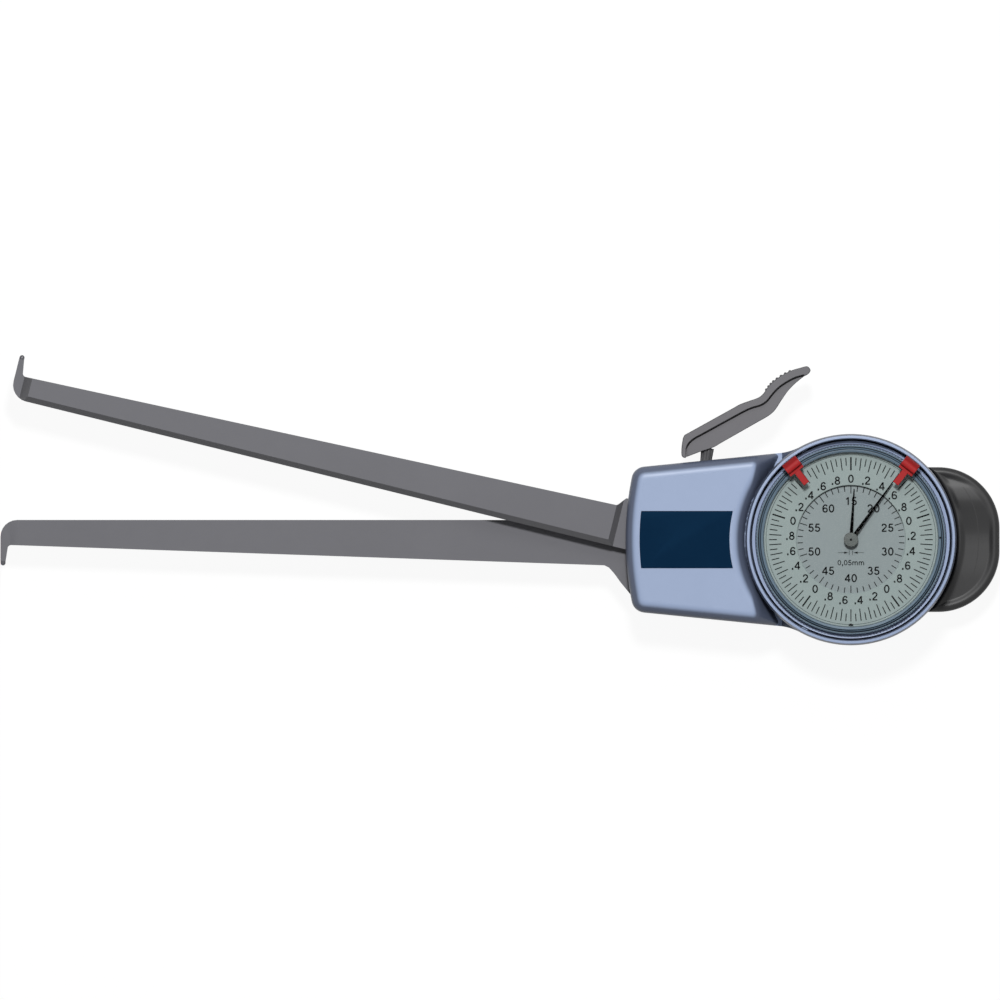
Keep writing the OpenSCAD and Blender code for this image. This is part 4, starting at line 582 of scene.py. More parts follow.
def crystal_material():
    """Clear glass that lamp light passes: for shadow, diffuse and glossy rays it isn't there."""
    mat = bpy.data.materials.new("clear crystal")
    mat.use_nodes = True
    g = Graph(mat.node_tree)
    shader = mat.node_tree.nodes["Principled BSDF"]
    for key, value in (("Transmission Weight", 1.0), ("IOR", 1.4), ("Metallic", 0.0),
                       ("Alpha", 0.12)):
        shader.inputs[key].default_value = value
    smear = g.group(GRAIN, ("Size", 8.0), ("Roughness", 0.0), ("Spread", 0.02))["Roughness"]
    g.tree.links.new(smear, shader.inputs["Roughness"])
    tint = g.group(CLOUD, ("Color", (0.97, 0.99, 1.0, 1.0)), ("Dark", (0.95, 0.98, 0.99, 1.0)),
                   ("Size", 30.0))["Color"]
    g.tree.links.new(tint, shader.inputs["Base Color"])
    clear = g.add("ShaderNodeBsdfTransparent")
    through = g.rays("Is Shadow Ray", "Is Diffuse Ray", "Is Glossy Ray")
    both = g.add("ShaderNodeMixShader", (0, through), (1, shader.outputs[0]), (2, clear.outputs[0]))
    g.show(both.outputs[0])
    return mat


MATERIALS["crystal"] = crystal_material()
for entry in frame["record"]["subparts"]:
    node = frame["nodes"][entry["node"]]
    node.data.materials.clear()
    node.data.materials.append(MATERIALS[entry["material_slot"]])


def box_mm(node):
    """A node's lowest and highest corner, in millimetres."""
    low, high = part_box(node)
    return np.array(low) / MM, np.array(high) / MM


# Casing and cover
def neck_half(x):
    """Half height of the neck at x: a straight side from its end to its root."""
    return NECK_END_HALF + tan(NECK_SLOPE) * (x - NECK_LEFT)


def neck_end():
    """The neck's left end: corner, bow and corner, counterclockwise from the upper side. A corner's
    centre is u and a + t u from the bow's centre, on the line one corner radius inside the neck's
    side, where its distance is q, one corner radius inside the bow."""
    bow_x, t = NECK_BOW_R + NECK_LEFT, tan(NECK_SLOPE)
    q = NECK_BOW_R - NECK_CORNER_R
    a = neck_half(bow_x) - NECK_CORNER_R / cos(NECK_SLOPE)
    u = (-a * t - sqrt(a * a * t * t - (1 + t * t) * (a * a - q * q))) / (1 + t * t)
    cx, cy = bow_x + u, a + t * u
    turn, lean = degrees(atan2(cy, u)), degrees(NECK_SLOPE)
    return [arc(cx, cy, NECK_CORNER_R, 90 + lean, turn, 10),
            arc(bow_x, 0, NECK_BOW_R, turn, 360 - turn, 48),
            arc(cx, -cy, NECK_CORNER_R, 360 - turn, 270 - lean, 10)]


# The hollow curve between neck and cup, the raised block's right end, and a point inside the cup
BLEND_X, BLEND_Y, BLEND_R, BLEND_FROM, BLEND_TO = -23.7, 43.9, 17.1, 298.0, 275.7
END_X, END_R = -20.9, 2.3
IN_CUP_X, IN_CUP_Y = -12, 27.5
# The cavity's right end, where it is open into the cup
CAVITY_RIGHT = -20


def casing_outline():
    """The casing without its cup: the neck, with a hollow curve from each side into the cup."""
    upper = arc(BLEND_X, BLEND_Y, BLEND_R, BLEND_FROM, BLEND_TO, 10)
    lower = upper[::-1] * [1, -1]
    return path([IN_CUP_X, IN_CUP_Y], upper, *neck_end(), lower, [IN_CUP_X, -IN_CUP_Y])


def block_outline():
    """The raised block of the neck: it ends in a straight edge with small corners."""
    lean = degrees(NECK_SLOPE)
    cy = neck_half(END_X - END_R) - END_R / cos(NECK_SLOPE)
    return path(arc(END_X - END_R, cy, END_R, 0, 90 + lean, 8), *neck_end(),
                arc(END_X - END_R, -cy, END_R, 270 - lean, 360, 8))


def soft_ramp(x, w):
    """A ramp that starts softly: 0 below -w, (x + w)^2 / 4 w up to w, and x beyond."""
    return np.where(x > w, x, np.clip(x + w, 0, 2 * w) ** 2 / (4 * w))


SHOULDER_X, SHOULDER_SLOPE, SHOULDER_SOFT = -29.3, 1.1, 1.4
VALLEY_R, VALLEY_ROUND, VALLEY_DEEP, EDGE_STRIP = 32.85, 4.4, 3.3, 1.5


def pad_height():
    """The neck's face: a flat pad that rounds off along its edges as a quarter circle of the
    distance to them, falls away to the right past the shoulder, and rounds off beside the cup as
    a quarter circle of the distance to its axis, which goes no deeper than the valley."""
    right = 20
    edges = path([right, neck_half(right)], *neck_end(), [right, -neck_half(right)])

    def height(p):
        to_edge, to_cup = nearest(p, edges), np.hypot(p[:, 0], p[:, 1]) - VALLEY_R
        drop = np.minimum(np.hypot(quarter_drop(to_edge, PAD_FILLET),
                                   quarter_drop(to_cup, VALLEY_ROUND)),
                          np.where(to_edge < EDGE_STRIP, PAD_FILLET, VALLEY_DEEP))
        return PAD_Z - drop - SHOULDER_SLOPE * soft_ramp(p[:, 0] - SHOULDER_X, SHOULDER_SOFT)
    return height


def cup_section():
    """The cup's wall: outside, rounded rim, the deep step inside it, a ledge and the bore."""
    outer = [(CUP_R, RIM_Z - 2.6), (32.67, RIM_Z - 1.8), (32.5, RIM_Z - 0.9),
             (32.38, RIM_Z - 0.3), (32.3, RIM_Z - 0.06), (32.18, RIM_Z)]
    return ([(BORE_R, SEAM_Z), (CUP_R - 0.2, SEAM_Z), (CUP_R, SEAM_Z + 0.2)] + outer
            + [(31.55, RIM_Z), (31.4, RIM_Z - 0.08), (31.28, RIM_Z - 0.6), (31.2, 27.4),
               (31.0, 24.8), (30.74, 26.3), (30.66, 26.5), (29.75, 26.4),
               (29.62, 26.7), (29.55, 28.0), (29.45, 28.1), (BORE_R, 28.1)])


def name_plate_outline(grow=0.0):
    """The name plate: a bowed left end, straight sides and a hollow right end round the cup."""
    bow_r, left, half, right_r = 78.0 + grow, -65.6 - grow, 8.85 + grow, 37.7 - grow
    a, b = degrees(np.arcsin(half / bow_r)), degrees(np.arcsin(half / right_r))
    return path(arc(0, 0, right_r, 180 + b, 180 - b, 24),
                arc(left + bow_r, 0, bow_r, 180 - a, 180 + a, 24))


def neck_outline_inner():
    """The neck's cavity: its outline a wall's thickness in, open into the cup."""
    outline = path([IN_CUP_X, IN_CUP_Y], *neck_end(), [IN_CUP_X, -IN_CUP_Y])
    inside = outline - WALL * mitre(outline)
    inside[0, 0] = inside[-1, 0] = CAVITY_RIGHT
    return inside[inside[:, 0] < CAVITY_RIGHT + 1]


# What is cut off the top of the neck's base, in X and Z
LOW_BASE_Z = 19.2
NECK_CUT = np.array([[-80, LOW_BASE_Z], [-21.4, LOW_BASE_Z], [-21.2, 19.3], [-15, 27.2],
                     [-14, 40], [-80, 40]])
# The spine that the raised block's rings close on, and the cavity's low and high parts
SPINE_LEFT, SPINE_RIGHT = -52, -38
LOW_CAVITY_Z, HIGH_CAVITY_Z, HIGH_CAVITY_X = 18.4, 24.1, -34.0
# The floor of the hollow beside the cup, the top of the neck's base, and the name plate's seat
VALLEY_FLOOR_Z, BASE_TOP_Z, PLATE_SEAT_Z = 25.0, 27.0, PAD_Z - 0.3
# The circle inside which the cup's wall takes the neck's place
CUP_CLEAR_R = 31


def build_casing():
    """The front casing: the neck's base and its raised block, hollowed out, with the cup's wall and
    the openings for the arms, the stem and the name plate."""
    edge = even(block_outline(), 0.8)
    spine = np.stack([np.clip(edge[:, 0], SPINE_LEFT, SPINE_RIGHT), np.zeros(len(edge))], 1)
    rings = np.concatenate([np.linspace(0, 1, 15) ** 1.5 * 0.17, np.linspace(0.19, 0.97, 42)])
    raised = as_object("raised", [height_block(edge, spine, rings, SEAM_Z + 2, pad_height())])
    carve(raised, [band(20, VALLEY_R, VALLEY_FLOOR_Z, 34, 256)])
    base = as_object("base", [prism(casing_outline(), [(0.25, SEAM_Z), (0.02, SEAM_Z + 0.25),
                                                       (0.02, BASE_TOP_Z)])])
    carve(base, [upright(prism(NECK_CUT, [(0, -60), (0, 60)]))])
    carve(base, [raised], "UNION")
    carve(base, [band(0.01, CUP_CLEAR_R, 5, 40, 128)])
    carve(base, [revolve(cup_section(), 256)], "UNION")
    inner = neck_outline_inner()
    carve(base, [prism(inner, [(0, SEAM_Z - 1), (0, LOW_CAVITY_Z)])])
    inner[:, 0] = np.minimum(inner[:, 0], HIGH_CAVITY_X)
    carve(base, [prism(path(inner), [(0, SEAM_Z - 1), (0, HIGH_CAVITY_Z)])])
    low, high = box_mm("mouth_seal")
    carve(base, [block((low[0] - 3, low[1], low[2]), (high[0] + 2, high[1], high[2]))])
    low, high = box_mm("slot_seal")
    carve(base, [block((low[0], 18, low[2]), (high[0], 30, high[2]))])
    carve(base, [prism(name_plate_outline(0.05), [(0, PLATE_SEAT_Z), (0, PAD_Z + 2)])])
    piece("casing_shell", base, "case", "casing", ["front_casing"], angle=28)


def countersunk(screw_r, head_r, deep, length):
    """A countersunk screw's envelope pointing up from z = 0: a cone, then the shank."""
    return revolve([(CORE, 0), (head_r, 0), (screw_r, deep), (screw_r, length), (CORE, length)], 48)


DRIVE_LOBES, DRIVE_DEPTH = 6, 0.13


def star(r):
    """A screw drive's outline: r (1 - depth (1 - cos(lobes a)))."""
    a = np.linspace(0, 2 * pi, 72, endpoint=False)
    q = r * (1 - DRIVE_DEPTH * (1 - np.cos(DRIVE_LOBES * a)))
    return np.stack([q * np.cos(a), q * np.sin(a)], 1)


CUP_SCREW_R, CUP_SCREW_TURN, NECK_SCREW_IN = 27.4, 50, 7.4


def cover_screw_places():
    """The four cover screws: two in the neck's corners and two in the cup."""
    x = NECK_LEFT + NECK_SCREW_IN
    y = neck_half(x) - WALL - 1.3
    c = CUP_SCREW_R * np.array([cos(radians(CUP_SCREW_TURN)), sin(radians(CUP_SCREW_TURN))])
    return [(x, y), (x, -y), (c[0], c[1]), (c[0], -c[1])]


GRIP_SCREWS = [(-34.0, 0.0), (20.3, 0.0)]
GRIP_SCREW_BORE = 1.53


def screw_set(name, node, places, z, screw_r, head_r, deep, length, drive_r):
    """Countersunk screws with a six-lobed drive, pointing up from z."""
    made = as_object(name, [moved(countersunk(screw_r, head_r, deep, length), 0, (x, y, z))
                            for x, y in places])
    for x, y in places:
        carve(made, [moved(prism(star(drive_r), [(0, -1), (0, deep * 0.9)]), 0, (x, y, z))])
    piece(name, made, "case", "screw_steel", [node], bevel=0.06)


def build_cover():
    """The rear cover: the casing's outline and the cup's disc with a rounded lower edge, and the
    holes for its own screws and the grip's."""
    top = SEAM_Z - 0.02
    levels = rounding(1.6, CASE_Z, -1) + [(0.0, SEAM_Z - 0.25), (0.22, top)]
    cover = as_object("cover", [prism(casing_outline(), levels)])
    disc = [(CORE, CASE_Z)] + [(CUP_R - i, z) for i, z in levels] + [(CORE, top)]
    carve(cover, [revolve(disc, 256)], "UNION")
    seat = countersunk(screw_r=1.3, head_r=2.45, deep=1.35, length=6)
    for x, y in cover_screw_places():
        carve(cover, [moved(seat, 0, (x, y, CASE_Z - 0.001))])
    for x, y in GRIP_SCREWS:
        carve(cover, [moved(band(CORE, GRIP_SCREW_BORE, -2, 8, 32), 0, (x, y, CASE_Z))])
    piece("cover_shell", cover, "case", "cover", ["rear_cover"], angle=28)


def build_label_plate():
    """The bare name plate, with a small rounded upper edge."""
    levels = [(0, PLATE_SEAT_Z), (0, PAD_Z + 0.1)] + rounding(0.12, PAD_Z + 0.2, 1, 3)
    plate = as_object("plate", [prism(even(name_plate_outline(), 0.5), levels)])
    piece("label_plate", plate, "case", "label", ["name_plate"], angle=28)


build_casing()
build_cover()
screw_set("cover_screw_set", "cover_screws", cover_screw_places(), z=CASE_Z, screw_r=1.25,
          head_r=2.3, deep=1.3, length=5.8, drive_r=1.25)
build_label_plate()

# Grip
GRIP_HALF, GRIP_RISE, GRIP_T = 22.5, 15.5, 6.5
GRIP_CORNER, GRIP_CORNER_X = 19.0, 27.3
SMALL_CORNER, SMALL_CORNER_X = 9, -51
REST_R, RIM_W, DISH_R, DISH_DEEP = 33.1, 1.7, 33.9, 0.55
REST_ROUND, CUP_SIDE_ROUND, DISH_WALL, GRIP_ROUND = 1.6, 0.9, 1.8, 3.0
# Where the rest starts inside the grip's plate, and the length of its spine as a share of its width
REST_FOOT_Z, SPINE_SHARE = 3.5, 0.72
# The waved floor of the thumb rest: places along Y and heights above the dish
REST_FLOOR = [[-22, .1], [-18, .15], [-14, .21], [-10, .22], [-4, .07], [0, -.02], [3, .05],
              [8, .5], [11, .79], [13, .85], [16, .66], [18, .36], [20, .1], [22, -.05]]


def grip_outline():
    """The grip's outline: wide round corners under the thumb rest, small ones under the neck."""
    cy, small_cy = GRIP_HALF - GRIP_CORNER, GRIP_HALF - SMALL_CORNER
    return path(arc(GRIP_CORNER_X, -cy, GRIP_CORNER, 270, 360, 36),
                arc(GRIP_CORNER_X, cy, GRIP_CORNER, 0, 90, 36),
                arc(SMALL_CORNER_X, small_cy, SMALL_CORNER, 90, 180, 18),
                arc(SMALL_CORNER_X, -small_cy, SMALL_CORNER, 180, 270, 18))


def rest_outline():
    """The thumb rest's outline: the grip's right end, less the circle round the cup."""
    cy, x = GRIP_HALF - GRIP_CORNER, sqrt(REST_R ** 2 - GRIP_HALF ** 2)
    turn = degrees(atan2(GRIP_HALF, x))
    return path([x, -GRIP_HALF], arc(GRIP_CORNER_X, -cy, GRIP_CORNER, 270, 360, 60),
                arc(GRIP_CORNER_X, cy, GRIP_CORNER, 0, 90, 60), arc(0, 0, REST_R, turn, -turn, 60))


def rest_height():
    """The thumb rest: level along its rim, rounded at its edges as a quarter circle of the distance
    to them, with a waved floor inside the rim that a wall leads down to, as the soft step
    s^2 (3 - 2 s) of the distance from the rim."""
    floor, outer = smooth(REST_FLOOR, 6), grip_outline()

    def height(p):
        to_edge, r = nearest(p, outer), np.hypot(p[:, 0], p[:, 1])
        drop = np.hypot(quarter_drop(to_edge, REST_ROUND),
                        quarter_drop(r - REST_R, CUP_SIDE_ROUND))
        hollow = DISH_DEEP - np.interp(p[:, 1], floor[:, 0], floor[:, 1])
        s = np.clip(np.minimum(to_edge - RIM_W, r - DISH_R) / DISH_WALL, 0, 1)
        return GRIP_RISE - drop - hollow * s * s * (3 - 2 * s)
    return height


def build_grip():
    """The grip: a plate with a rounded lower edge, the thumb rest raised on its right end, and the
    seats of its two screws. The rest's rings run to a spine half way between its two sides."""
    grip = as_object("grip", [prism(grip_outline(), rounding(GRIP_ROUND, 0, -1)
                                    + [(0, GRIP_T - 0.2), (0.2, GRIP_T)])])
    edge = even(rest_outline(), 0.5)
    y = edge[:, 1] * SPINE_SHARE
    left = np.sqrt(REST_R ** 2 - y ** 2)
    right = GRIP_CORNER_X + np.sqrt(GRIP_CORNER ** 2
                                    - np.maximum(abs(y) - GRIP_HALF + GRIP_CORNER, 0) ** 2)
    spine = np.stack([(left + right) / 2, y], 1)
    rings = np.concatenate([np.linspace(0, 1, 16) ** 1.4 * 0.5, np.linspace(0.53, 0.995, 22)])
    carve(grip, [height_block(edge, spine, rings, REST_FOOT_Z, rest_height())], "UNION")
    for x, y in GRIP_SCREWS:
        carve(grip, [moved(revolve([(CORE, -1), (3.2, -1), (3.2, 0.6), (2.95, 0.6),
                                    (GRIP_SCREW_BORE, 2.15), (GRIP_SCREW_BORE, 8), (CORE, 8)], 48),
                           0, (x, y, 0))])
    piece("grip_shell", grip, "case", "grip", ["grip"], angle=30)


build_grip()
screw_set("grip_screw_set", "grip_screws", GRIP_SCREWS, z=0.6, screw_r=1.5, head_r=2.9, deep=1.6,
          length=8.6, drive_r=1.6)


# Arms
def dressed(node, name, body, slot, bevel=0.0, segments=2):
    """A copy of a node's solid with its doubles merged, its flat faces joined and a small rounded
    edge."""
    obj = bpy.data.objects.new(name, frame["nodes"][node].data.copy())
    scene.collection.objects.link(obj)
    bm = bmesh.new()
    bm.from_mesh(obj.data)
    bmesh.ops.remove_doubles(bm, verts=bm.verts, dist=1e-6)
    bmesh.ops.dissolve_limit(bm, angle_limit=radians(0.4), verts=bm.verts, edges=bm.edges)
    bmesh.ops.recalc_face_normals(bm, faces=bm.faces)
    bm.to_mesh(obj.data)
    bm.free()
    piece(name, obj, body, slot, [node], bevel=bevel, segments=segments)


dressed("fixed_arm", "fixed_arm_bar", "case", "arm", 0.3, segments=3)
dressed("moving_arm", "moving_arm_bar", "moving_arm_unit", "arm", 0.3, segments=3)
dressed("fixed_contact", "fixed_contact_pin", "case", "contact")
dressed("moving_contact", "moving_contact_pin", "moving_arm_unit", "contact")
dressed("mouth_seal", "mouth_gasket", "case", "seal", 0.15)
dressed("slot_seal", "slot_gasket", "case", "seal", 0.15)

# Release lever

# The box that holds the lever, and its lines as shares of that box
LEVER_AT, LEVER_SIZE = np.array([-52.5, 24.8]), np.array([40.0, 29.0])
LEVER_TOP = [[.022, .265], [.06, .294], [.16, .3704], [.28, .4621], [.4, .5538], [.454, .595],
             [.521, .629], [.591, .663], [.631, .704], [.671, .78], [.713, .842], [.781, .907],
             [.858, .959], [.925, .986]]
LEVER_NOSE = [[.975, 1], [1, .959], [.983, .918]]
LEVER_UNDER = [[.95, .893], [.883, .818], [.823, .732], [.773, .632], [.723, .529], [.671, .467],
               [.589, .402], [.53, .3557], [.42, .2693], [.3, .175], [.244, .131], [.142, .085]]
LEVER_HEEL = [[.02, .02], [0, .045], [0, .137], [.01, .23]]
LEVER_SEAM = [[.034, .02], [.033, .07], [.036, .128], [.055, .18], [.098, .231], [.15, .2709],
              [.25, .3463], [.37, .4368], [.479, .519], [.546, .56], [.613, .588], [.66, .632],
              [.706, .71], [.756, .78], [.823, .842], [.883, .883], [.95, .909]]
# The stem's lean in degrees, the bore round it, and the levels and radii of its sleeve
STEM_LEAN, STEM_BORE = 7.1, 1.43
SLEEVE_AT = np.array([21.9, 22.0, 23.2, 24.6, 25.8, 27.2, 28.5, 28.6])
SLEEVE_R = np.array([1.85, 1.92, 1.86, 1.84, 1.88, 1.98, 2.08, 2.02])
# Half widths of the lever's web and flange, and the ribs' radii and half length
WEB_HALF, FLANGE_HALF = 3.2, 4.5
RIB_TIP_R, RIB_R, RIB_TIP, RIB_HALF = 0.3, 0.44, 3.9, 3.7
# Where the ribs stand, as shares of the way along the lever's top, and how far they sink into it
RIB_FROM, RIB_TO, RIB_STEP, RIB_SINK = 0.665, 0.91, 0.034, (0.05, -0.08)
# The groove's sides, from the seam's line, and its floor and mouth, from the lever's middle
GROOVE_ABOVE, GROOVE_BELOW, GROOVE_FLOOR, GROOVE_MOUTH = -0.1, 0.45, 1.9, 5.0


def along_stem(part):
    """A part on Z laid along the lever's stem, which leans from the pivot to the lever."""
    c, s = cos(radians(STEM_LEAN)), sin(radians(STEM_LEAN))
    return placed(part, (PIVOT[0], PIVOT[1], STEM_Z), (c, -s, 0), (0, 0, 1), (s, c, 0))


def build_lever():
    """The release lever: a web and a wider flange on top of it, with small ribs across the flange,
    a groove on both sides where they part, and a bore for the stem."""
    def lay(shares, steps=8):
        return smooth(np.array(shares) * LEVER_SIZE, steps) + LEVER_AT
    top, seam, heel = lay(LEVER_TOP), lay(LEVER_SEAM), lay(LEVER_HEEL, 4)
    nose, under = lay(LEVER_TOP[-1:] + LEVER_NOSE + LEVER_UNDER[:1], 6)[1:-1], lay(LEVER_UNDER)
    web = path(top, nose, under, heel)[::-1]
    flange = path(top, nose, seam[::-1], heel[:1] + [0.1, 0], heel)[::-1]

    def slab(outline, half, edge):
        low = rounding(edge, STEM_Z - half, -1, 4)
        return prism(outline, low + rounding(edge, STEM_Z + half, 1, 4))
    lever = as_object("lever", [slab(even(web, 0.35), WEB_HALF, 0.22)])
    carve(lever, [slab(even(flange, 0.35), FLANGE_HALF, 0.28)], "UNION")
    rib = revolve([(CORE, -RIB_TIP), (RIB_TIP_R, -RIB_TIP), (RIB_R, -RIB_HALF), (RIB_R, RIB_HALF),
                   (RIB_TIP_R, RIB_TIP), (CORE, RIB_TIP)], 20)
    run = np.linspace(0, 1, len(top))
    for at in np.arange(RIB_FROM, RIB_TO, RIB_STEP):
        x, y = (np.interp(at, run, top[:, k]) + RIB_SINK[k] for k in range(2))
        carve(lever, [moved(rib, 0, (x, y, STEM_Z))], "UNION")
    way = np.gradient(seam, axis=0)
    across = np.stack([way[:, 1], -way[:, 0]], 1) / np.linalg.norm(way, axis=1)[:, None]
    for low, high in ((GROOVE_FLOOR, GROOVE_MOUTH), (-GROOVE_MOUTH, -GROOVE_FLOOR)):
        rail = [np.column_stack([seam + d * across, np.full(len(seam), STEM_Z + z)])
                for d, z in ((GROOVE_ABOVE, low), (GROOVE_BELOW, low), (GROOVE_BELOW, high),
                             (GROOVE_ABOVE, high))]
        carve(lever, [channel(np.stack(rail, 1))])
    carve(lever, [along_stem(revolve([(CORE, 20), (2.12, 20), (2.12, 28.6), (STEM_BORE, 28.7),
                                      (STEM_BORE, 32.1), (CORE, 32.1)], 48))])
    piece("release_lever_body", lever, "moving_arm_unit", "lever", ["release_lever"], angle=30)


def build_sleeve():
    """The stem's sleeve, with eight narrow flutes: its radius is a level's own radius times
    1 - 0.11 ((1 + cos 8 a) / 2)^6."""
    a = np.linspace(0, 2 * pi, 96, endpoint=False)
    flute = 1 - 0.11 * (0.5 + 0.5 * np.cos(8 * a)) ** 6
    wall = tube(SLEEVE_R[:, None] * flute, SLEEVE_AT, STEM_BORE)
    sleeve = as_object("sleeve", [along_stem(wall)])
    piece("stem_sleeve_body", sleeve, "moving_arm_unit", "sleeve", ["stem_sleeve"], angle=35)


build_lever()
build_sleeve()
dressed("lever_stem", "lever_stem_rod", "moving_arm_unit", "pin_steel")

# Bezel, dial and crystal
FLUTE_R, FLUTE_DEEP, FLUTES, FLUTE_BORE = 29.5, 0.36, 180, 28.9
# Levels of the dial's inner disc, the dial's back and the crystal's lower edge, and its rise
DISC_Z, DIAL_FOOT_Z = DIAL_Z - DIAL_STEP, 27.2
CRYSTAL_LOW_Z, CRYSTAL_RISE = 29.82, 0.8


def bezel_section():
    """The bezel's section: skirt, body, a face with fine turned grooves, crystal seat and lip."""
    return [(27.12, 26.4), (28.92, 26.4), (28.92, 28.5), (28.88, 28.5), (28.82, 27.8),
            (28.7, 27.6), (28.62, 28.9), (28.5, 29.2), (28.3, 29.36), (28.22, 29.3),
            (28.14, 28.4), (28.06, 29.3), (28.0, 29.8), (27.93, 29.98), (27.83, 30.0),
            (27.72, 29.96), (27.5, 29.86), (27.3, 29.8), (27.22, 29.72), (26.98, 28.4),
            (26.98, 28.0), (27.12, 27.9)]


def build_bezel():
    """The bezel: its section turned, with a fluted edge whose radius falls from FLUTE_R by
    FLUTE_DEEP (1 - |cos(FLUTES a / 2)|^0.7)."""
    bezel = as_object("bezel", [revolve(bezel_section(), 360)])
    a = np.linspace(0, 2 * pi, FLUTES * 6, endpoint=False)
    wave = np.abs(np.cos(a * FLUTES / 2)) ** 0.7
    r = FLUTE_R - FLUTE_DEEP * (1 - wave)
    levels, into = np.array([28.2, 28.3, 28.65, 28.8]), np.array([0.12, 0.0, 0.0, 0.14])
    carve(bezel, [tube(r[None] - into[:, None], levels, FLUTE_BORE)], "UNION")
    piece("bezel_body", bezel, "bezel", "bezel", ["bezel_ring"], angle=24)


def build_dial():
    """The dial's outer ring, and the inner disc that lies a step lower."""
    dial = as_object("dial", [revolve(
        [(DIAL_INNER_R, DIAL_FOOT_Z), (DIAL_R, DIAL_FOOT_Z), (DIAL_R, 27.7), (DIAL_R - 0.1, DIAL_Z),
         (DIAL_INNER_R + 0.3, DIAL_Z), (DIAL_INNER_R, DISC_Z - 0.02)], 360)])
    piece("dial_face", dial, "bezel", "dial", ["dial_plate"], angle=24)
    disc = as_object("disc", [band(1.4, DIAL_INNER_R, DIAL_FOOT_Z, DISC_Z, 180)])
    piece("dial_inner_disc", disc, "bezel", "dial", look="inner_dial", angle=24)


def build_crystal():
    """The crystal: both faces rise by CRYSTAL_RISE (1 - t^2) at a share t of its radius."""
    def face(r, z):
        shares = np.linspace(0, 1, 28) ** 0.8
        return [(max(r * t, CORE), z + CRYSTAL_RISE * (1 - t * t)) for t in shares]
    low, high = face(CRYSTAL_R, CRYSTAL_LOW_Z), face(CRYSTAL_R - 0.25, BEZEL_TOP)
    glass = as_object("glass", [revolve(low + [(CRYSTAL_R, BEZEL_TOP - 0.25)] + high[::-1], 256)])
    piece("crystal_dome", glass, "bezel", "crystal", ["crystal"], angle=40)


build_bezel()
build_dial()
build_crystal()

# The dial's print
PRINT_H = 0.03


def bars(angles, r_in, r_out, width, z, high=PRINT_H):
    """Radial bars at angles clockwise from the top: each is a thin box whose long sides lie
    half a width to both sides of the ray."""
    a = np.radians(90 - np.asarray(angles, float))
    ray, side = np.stack([np.cos(a), np.sin(a)], 1), np.stack([-np.sin(a), np.cos(a)], 1)
    n = len(a)
    r_in, r_out, width = (np.broadcast_to(v, n)[:, None] for v in (r_in, r_out, width))
    flat = np.stack([r_in * ray - side * width / 2, r_out * ray - side * width / 2,
                     r_out * ray + side * width / 2, r_in * ray + side * width / 2], 1)
    z = np.broadcast_to(z, n)[:, None, None]
    low = np.concatenate([flat, np.broadcast_to(z, (n, 4, 1))], 2)
    p = np.concatenate([low, low + [0, 0, high]], 1).reshape(-1, 3)
    one = np.array([[3, 2, 1, 0], [4, 5, 6, 7], [0, 1, 5, 4], [1, 2, 6, 5], [2, 3, 7, 6],
                    [3, 0, 4, 7]])
    return p, (one[None] + 8 * np.arange(n)[:, None, None]).reshape(-1, 4).tolist()


def bow(x, y, rx, ry, start, end):
    """Points along an oval between two angles."""
    a = np.radians(np.linspace(start, end, 3 + int(abs(end - start) / 14)))
    return np.stack([x + rx * np.cos(a), y + ry * np.sin(a)], 1)


def bend(*points):
    """A smooth stroke through some points."""
    return smooth(points, 5)


# Each sign's width and its strokes, as shares of its height
SIGNS = {
    "0": (0.777, [bow(0.39, 0.5, 0.255, 0.44, 0, 360)]),
    "1": (0.777, [[[0.2, 0.73], [0.34, 0.81], [0.46, 0.97]], [[0.455, 0], [0.455, 1]]]),
    "2": (0.777, [bend([0.125, 0.7], [0.17, 0.86], [0.27, 0.93], [0.4, 0.94], [0.54, 0.87],
                       [0.6, 0.73], [0.56, 0.58], [0.42, 0.41], [0.24, 0.24], [0.13, 0.1]),
                  [[0.09, 0.06], [0.66, 0.06]]]),
    "3": (0.777, [bow(0.365, 0.725, 0.2, 0.215, 165, -92), bow(0.38, 0.285, 0.245, 0.23, 88, -168)]),
    "4": (0.777, [[[0.5, 0.95], [0.09, 0.31]], [[0.04, 0.29], [0.72, 0.29]], [[0.52, 0], [0.52, 1]]]),
    "5": (0.777, [[[0.22, 0.94], [0.63, 0.94]], [[0.24, 0.97], [0.165, 0.48]],
                  bow(0.38, 0.32, 0.25, 0.265, 142, -166)]),
    "6": (0.777, [bow(0.4, 0.305, 0.245, 0.245, 0, 360),
                  bend([0.63, 0.77], [0.56, 0.89], [0.42, 0.94], [0.27, 0.88], [0.18, 0.72],
                       [0.145, 0.5], [0.155, 0.3])]),
    "8": (0.777, [bow(0.39, 0.735, 0.2, 0.205, 0, 360), bow(0.39, 0.285, 0.25, 0.23, 0, 360)]),
    ".": (0.388, [[[0.1, y], [0.29, y]] for y in (0.05, 0.12)]),
    ",": (0.388, [[[0.1, y], [0.29, y]] for y in (0.05, 0.12)] + [[[0.24, 0.06], [0.17, -0.19]]]),
    "m": (1.165, [[[0.15, 0], [0.15, 0.72]],
                  bend([0.15, 0.46], [0.22, 0.62], [0.38, 0.67], [0.52, 0.6], [0.565, 0.44],
                       [0.57, 0.22], [0.57, 0]),
                  bend([0.57, 0.46], [0.64, 0.62], [0.8, 0.67], [0.95, 0.6], [0.995, 0.44],
                       [1.0, 0.22], [1.0, 0])]),
}
# How much wider the dial's signs are than drawn above
SIGN_WIDE = 1.05


